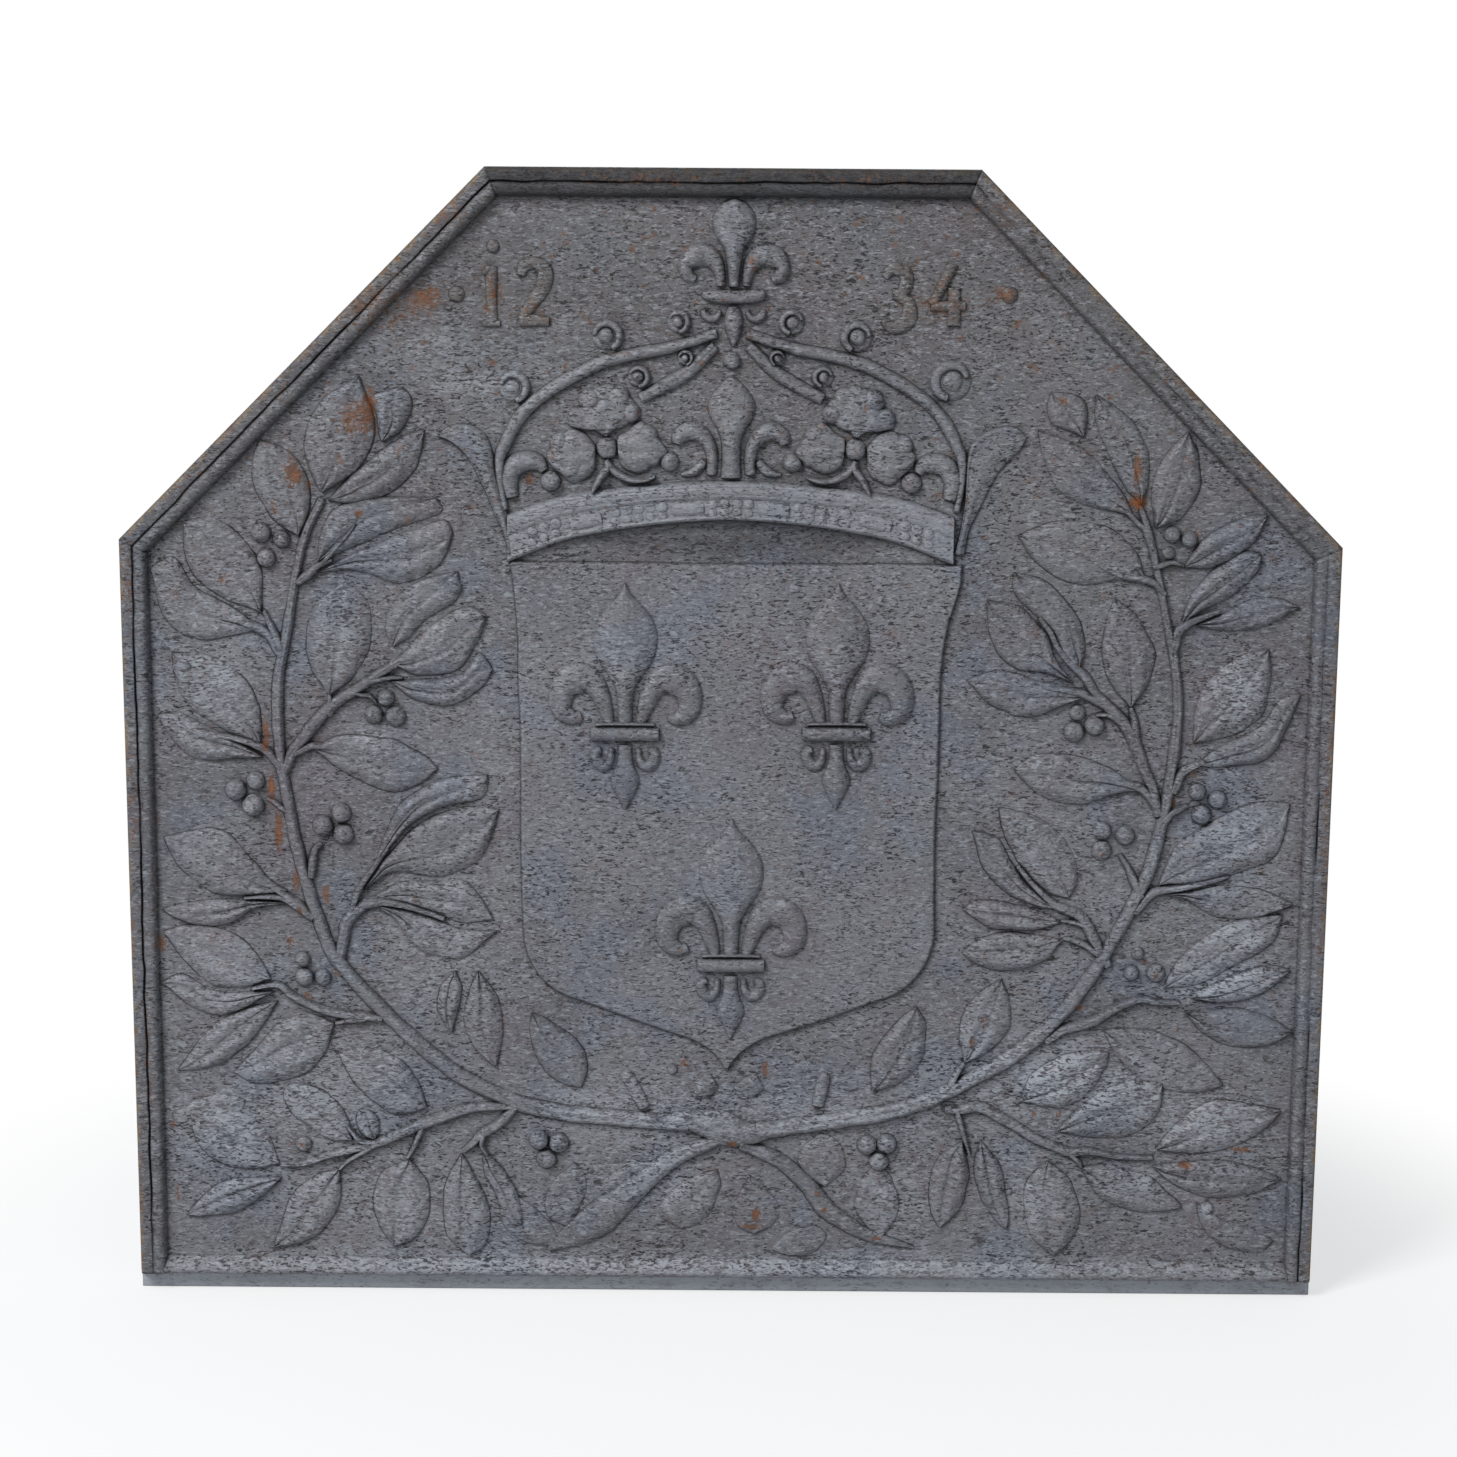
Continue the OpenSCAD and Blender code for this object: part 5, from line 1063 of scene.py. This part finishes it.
# berries: x, z and diameter of each
berries = dict(
    left=[(-299, 508, 12.5), (-286, 504, 11), (-296, 492, 12), (-221, 402, 11), (-229, 391, 12),
          (-215, 390, 13), (-306, 347, 12), (-319, 341, 14), (-308, 331, 14.5), (-251, 326, 12.5),
          (-263, 317.5, 13.5), (-250, 312, 13.5), (-278, 228, 10), (-277, 216, 12), (-265, 216, 11),
          (-124, 106, 13), (-111, 104, 13), (-119, 93, 13)],
    right=[(281, 511, 10.5), (292, 508, 10.5), (279, 499, 8.5), (224, 395.5, 10.5), (222, 383, 13),
           (235, 387.5, 13), (303, 344, 11), (316, 339, 12), (306, 329, 12.5), (242, 318, 12),
           (257, 315, 12.5), (242, 305, 13), (268, 236, 8), (264, 223, 10), (280, 223, 12), (106, 105, 13),
           (93, 104, 13), (101, 93, 13)])
for side, rows in berries.items():
    shells = [boss([x, z], wide, 0.5 * wide, rings=12, around=32) for x, z, wide in rows]
    castPiece("berries " + side, shells, finishes["leaves"], ["berries_" + side], crease=0.75)

# where the branches cross: a broad band with a low lump above it on either side, and both cut ends below
knotBand = [-36, 121, -22, 120, -5, 116, 10, 111, 27, 112]
shells = [ribbon(knotBand, [9, 16, 23, 19, 9], [4.6, 6.2, 7.2, 6.4, 4.6], roundBack, 60, 31,
                 rough=1.2, grit=6, edge=1.4)]
for x in (-15, 15):
    lump = [x - 8, 139, x, 143, x + 7, 147]
    shells.append(ribbon(lump, [10, 15, 11], [1.6, 3.8, 1.8], bulgeBack, 30, 21, rough=1.0, grit=6, edge=1.2))
castPiece("knot", shells, finishes["stems"], ["knot"], crease=0.4)
ends = dict(left=([-4, 108, -28, 98, -50, 82, -72, 62, -92, 46, -118, 30], [8, 11, 15, 20, 22, 3]),
            right=([9, 104, 34, 93, 54, 76, 68, 58, 94, 42, 125, 33], [8, 10, 11, 12, 9, 2]))
for side, (path, widths) in ends.items():
    stemEnd = ribbon(path, widths, [5, 5, 4.5, 2], stemBack, 150, 21, rough=0.6, edge=1.2)
    castPiece("stem end " + side, [stemEnd], finishes["stems"], ["stem_end_" + side])
stubs = ([-54, 129, -60, 140, -65, 150], [60, 131, 62, 141, 64, 149])
shells = [ribbon(path, [8, 9, 8], [3, 4, 3], roundBack, 24, 13) for path in stubs]
castPiece("stem stubs", shells, finishes["stems"], ["stem_stubs"])

# faint leaves pressed low into the sand: outline, height
faintLeaves = [
    ([-6, 86, -24, 80, -40, 68, -44, 54, -30, 45, -16, 50, -8, 62, -3, 76], 3.2),
    ([16, 82, 9, 70, 4, 58, 9, 46, 19, 42, 31, 48, 36, 60, 27, 74], 3.0),
    ([62, 112, 52, 103, 48, 92, 54, 81, 66, 75, 76, 84, 79, 97, 71, 108], 2.4),
    ([-150, 64, -149, 48, -138, 36, -124, 32, -110, 34, -117, 48, -130, 60, -142, 66], 2.4),
    ([60, 48, 46, 45, 36, 38, 32, 31, 40, 27, 53, 27, 63, 33, 67, 42], 2.0),
    ([-44, 92, -60, 90, -74, 83, -84, 74, -77, 67, -64, 69, -51, 78, -43, 85], 1.8),
    ([100, 92, 90, 80, 86, 64, 92, 48, 104, 40, 112, 52, 114, 68, 109, 82], 2.6),
    ([-100, 90, -112, 80, -120, 66, -118, 52, -106, 46, -98, 56, -94, 70, -94, 82], 2.2),
    ([312, 66, 322, 58, 338, 50, 352, 46, 364, 40, 356, 32, 336, 34, 318, 46], 2.4),
    ([-318, 132, -334, 136, -350, 132, -366, 122, -360, 112, -344, 112, -330, 118, -320, 124], 2.2)]
# knobs: x, z, diameter, height
knobs = ((-351, 421, 13, 5.6), (-176, 474, 9, 5.2), (-280, 102, 11, 4.5), (319, 62, 9, 3), (-66, 150, 9, 4.5),
         (64, 150, 8, 4.5), (-36, 155, 7, 2.4))
faintBack = leafBack(0.05, 0.12, 1)
shells = [blade(outline, np.array([0.6, 1, 0.9, 0.5]) * high, faintBack, 40, 27, rough=0.6, edge=1.8)
          for outline, high in faintLeaves]
shells += [boss([x, z], wide, high, around=24) for x, z, wide, high in knobs]
castPiece("faint leaves and knobs", shells, finishes["leaves"], [], crease=0.6)
print("laurel cast")

# a figure is one or more strokes: a path and widths in hundredths of its height, from its lower left corner
figureShapes = {
    "1": [([18, 0, 18, 30, 18, 70, 18, 96], [15, 12, 12, 14]), ([4, 3, 32, 3], [7, 7]),
          ([6, 84, 18, 94], [6, 8])],
    "2": [([6, 78, 12, 93, 30, 97, 44, 84, 40, 60, 22, 32, 6, 8], [9, 12, 12, 15, 15, 12, 9]),
          ([4, 6, 24, 8, 50, 6], [11, 12, 9])],
    "3": [([6, 84, 20, 97, 40, 88, 38, 64, 22, 54], [9, 12, 14, 13, 9]),
          ([22, 54, 44, 44, 46, 18, 24, 3, 5, 14], [9, 14, 16, 13, 8])],
    "4": [([36, 98, 22, 70, 4, 34], [10, 10, 9]), ([2, 32, 30, 32, 56, 32], [10, 10, 9]),
          ([38, 60, 38, 30, 38, 2], [12, 13, 14])]}
figures = [("1", -158, 640, 38), ("2", -135, 640, 40), ("3", 93, 639, 39), ("4", 124, 641, 40)]
strokeWide = 1.6           # the figures are this much bolder than drawn
dots = ((-150, 689, 8), (-173, 659, 10), (174, 661, 10))
shells = []
for sign, x, z, high in figures:
    for points, widths in figureShapes[sign]:
        line, wide = pairs(points) * high / 100 + [x, z], np.array(widths) * high / 100 * strokeWide
        shells.append(ribbon(line, wide, [2.2, 2.6, 2.2], roundBack, 44, 15, rough=0.4, edge=0.4))
shells += [boss([x, z], wide, 2.6) for x, z, wide in dots]
castPiece("figures", shells, finishes["figures"], [], crease=0.5)
print("figures cast")


# White paper that keeps the shadow: near the plate the camera sees part of its own light on it, further off
# it sees plain white; every other ray meets a plain pale floor
def whitePaper():
    look = dict(shaded="#f8f8f8", plain="#d8d8d8", near=0.42, far=0.72, share=0.4)    # near and far in metres
    material = bpy.data.materials.new("white paper floor")
    material.use_nodes = True
    tree = material.node_tree
    tree.nodes.clear()
    place = addNode(tree, "ShaderNodeTexCoord").outputs["Object"]
    away = addNode(tree, "ShaderNodeVectorMath", dict(operation="LENGTH"), i0=place).outputs["Value"]
    smooth = dict(interpolation_type="SMOOTHSTEP")
    share = addNode(tree, "ShaderNodeMapRange", smooth, Value=away, i1=look["near"], i2=look["far"],
                    i3=look["share"], i4=0.0)
    shaded = addNode(tree, "ShaderNodeBsdfDiffuse", Color=toLinear(look["shaded"]))
    blank = addNode(tree, "ShaderNodeEmission", Color=(1, 1, 1, 1), Strength=1.0)
    seen = addNode(tree, "ShaderNodeMixShader", i0=share.outputs[0], i1=blank.outputs[0],
                   i2=shaded.outputs[0])
    plain = addNode(tree, "ShaderNodeBsdfDiffuse", Color=toLinear(look["plain"]))
    ray = addNode(tree, "ShaderNodeLightPath").outputs["Is Camera Ray"]
    both = addNode(tree, "ShaderNodeMixShader", i0=ray, i1=plain.outputs[0], i2=seen.outputs[0])
    addNode(tree, "ShaderNodeOutputMaterial", Surface=both.outputs[0])
    return material


floorMesh = bpy.data.meshes.new("floor")
floorMesh.from_pydata([(-6, -4, 0), (6, -4, 0), (6, 8, 0), (-6, 8, 0)], [], [(0, 1, 2, 3)])
floorMesh.materials.append(whitePaper())
floor = bpy.data.objects.new("floor", floorMesh)
bpy.context.scene.collection.objects.link(floor)


# the matrix of something that stands at a place and looks ahead
def looking(right, up, ahead, at):
    return Matrix([[right[k], up[k], -ahead[k], at[k]] for k in range(3)] + [[0, 0, 0, 1]])


# a square white area lamp of the given size and power, turned towards the plate's middle
def softLamp(name, at, size, power):
    light = bpy.data.lights.new(name, "AREA")
    light.shape, light.size, light.energy = "SQUARE", size, power
    lamp = bpy.data.objects.new(name, light)
    bpy.context.scene.collection.objects.link(lamp)
    aim = np.array([0, 0, 0.37]) - at
    aim = aim / np.linalg.norm(aim)
    right = np.cross(aim, [0, 0, 1])
    right = right / np.linalg.norm(right)
    lamp.matrix_world = looking(right, np.cross(right, aim), aim, at)


softLamp("sky panel", np.array([-2.0, -2.3, 3.1]), 1.2, 127)
softLamp("front fill", np.array([1.0, -3.2, 0.7]), 2.4, 9)

# the camera sees a white room, the plate is lit by a dimmer bluish one
world = bpy.data.worlds.new("white room")
bpy.context.scene.world = world
world.use_nodes = True
tree = world.node_tree
tree.nodes.clear()
ray = addNode(tree, "ShaderNodeLightPath").outputs
seen = addNode(tree, "ShaderNodeMath", dict(operation="MAXIMUM"), i0=ray["Is Camera Ray"],
               i1=ray["Is Transmission Ray"])
room = addNode(tree, "ShaderNodeBackground", Color=toLinear("#e6ebf2"), Strength=0.5)
white = addNode(tree, "ShaderNodeBackground", Color=(1, 1, 1, 1), Strength=1.0)
mixed = addNode(tree, "ShaderNodeMixShader", i0=seen.outputs[0], i1=room.outputs[0], i2=white.outputs[0])
addNode(tree, "ShaderNodeOutputWorld", Surface=mixed.outputs[0])

# camera placed by fitting the plate's corners and carving to the photograph: angles in degrees, target and
# away in mm, lens, centre and frame in pixels
view = dict(target=[0, groundY, 370], azimuth=0.131, elevation=10.746, roll=0.396, away=1936.3,
            lens=3000, centre=(729.04, 748.67), frame=1457, sensor=36)
az, el, roll = (math.radians(view[k]) for k in ("azimuth", "elevation", "roll"))
ahead = np.array([-math.sin(az) * math.cos(el), math.cos(az) * math.cos(el), -math.sin(el)])
right = np.array([math.cos(az), math.sin(az), 0])
up = np.cross(right, ahead)
right, up = math.cos(roll) * right + math.sin(roll) * up, -math.sin(roll) * right + math.cos(roll) * up
eye = (np.array(view["target"]) - ahead * view["away"]) / 1000
lens = bpy.data.cameras.new("camera")
lens.sensor_width = view["sensor"]
lens.lens = view["lens"] / view["frame"] * view["sensor"]
lens.shift_x = -(view["centre"][0] - view["frame"] / 2) / view["frame"]
lens.shift_y = (view["centre"][1] - view["frame"] / 2) / view["frame"]
camera = bpy.data.objects.new("camera", lens)
bpy.context.scene.collection.objects.link(camera)
camera.matrix_world = looking(right, up, ahead, eye)
bpy.context.scene.camera = camera
bpy.context.scene.view_settings.view_transform = "Standard"
print("floor, light and camera set")
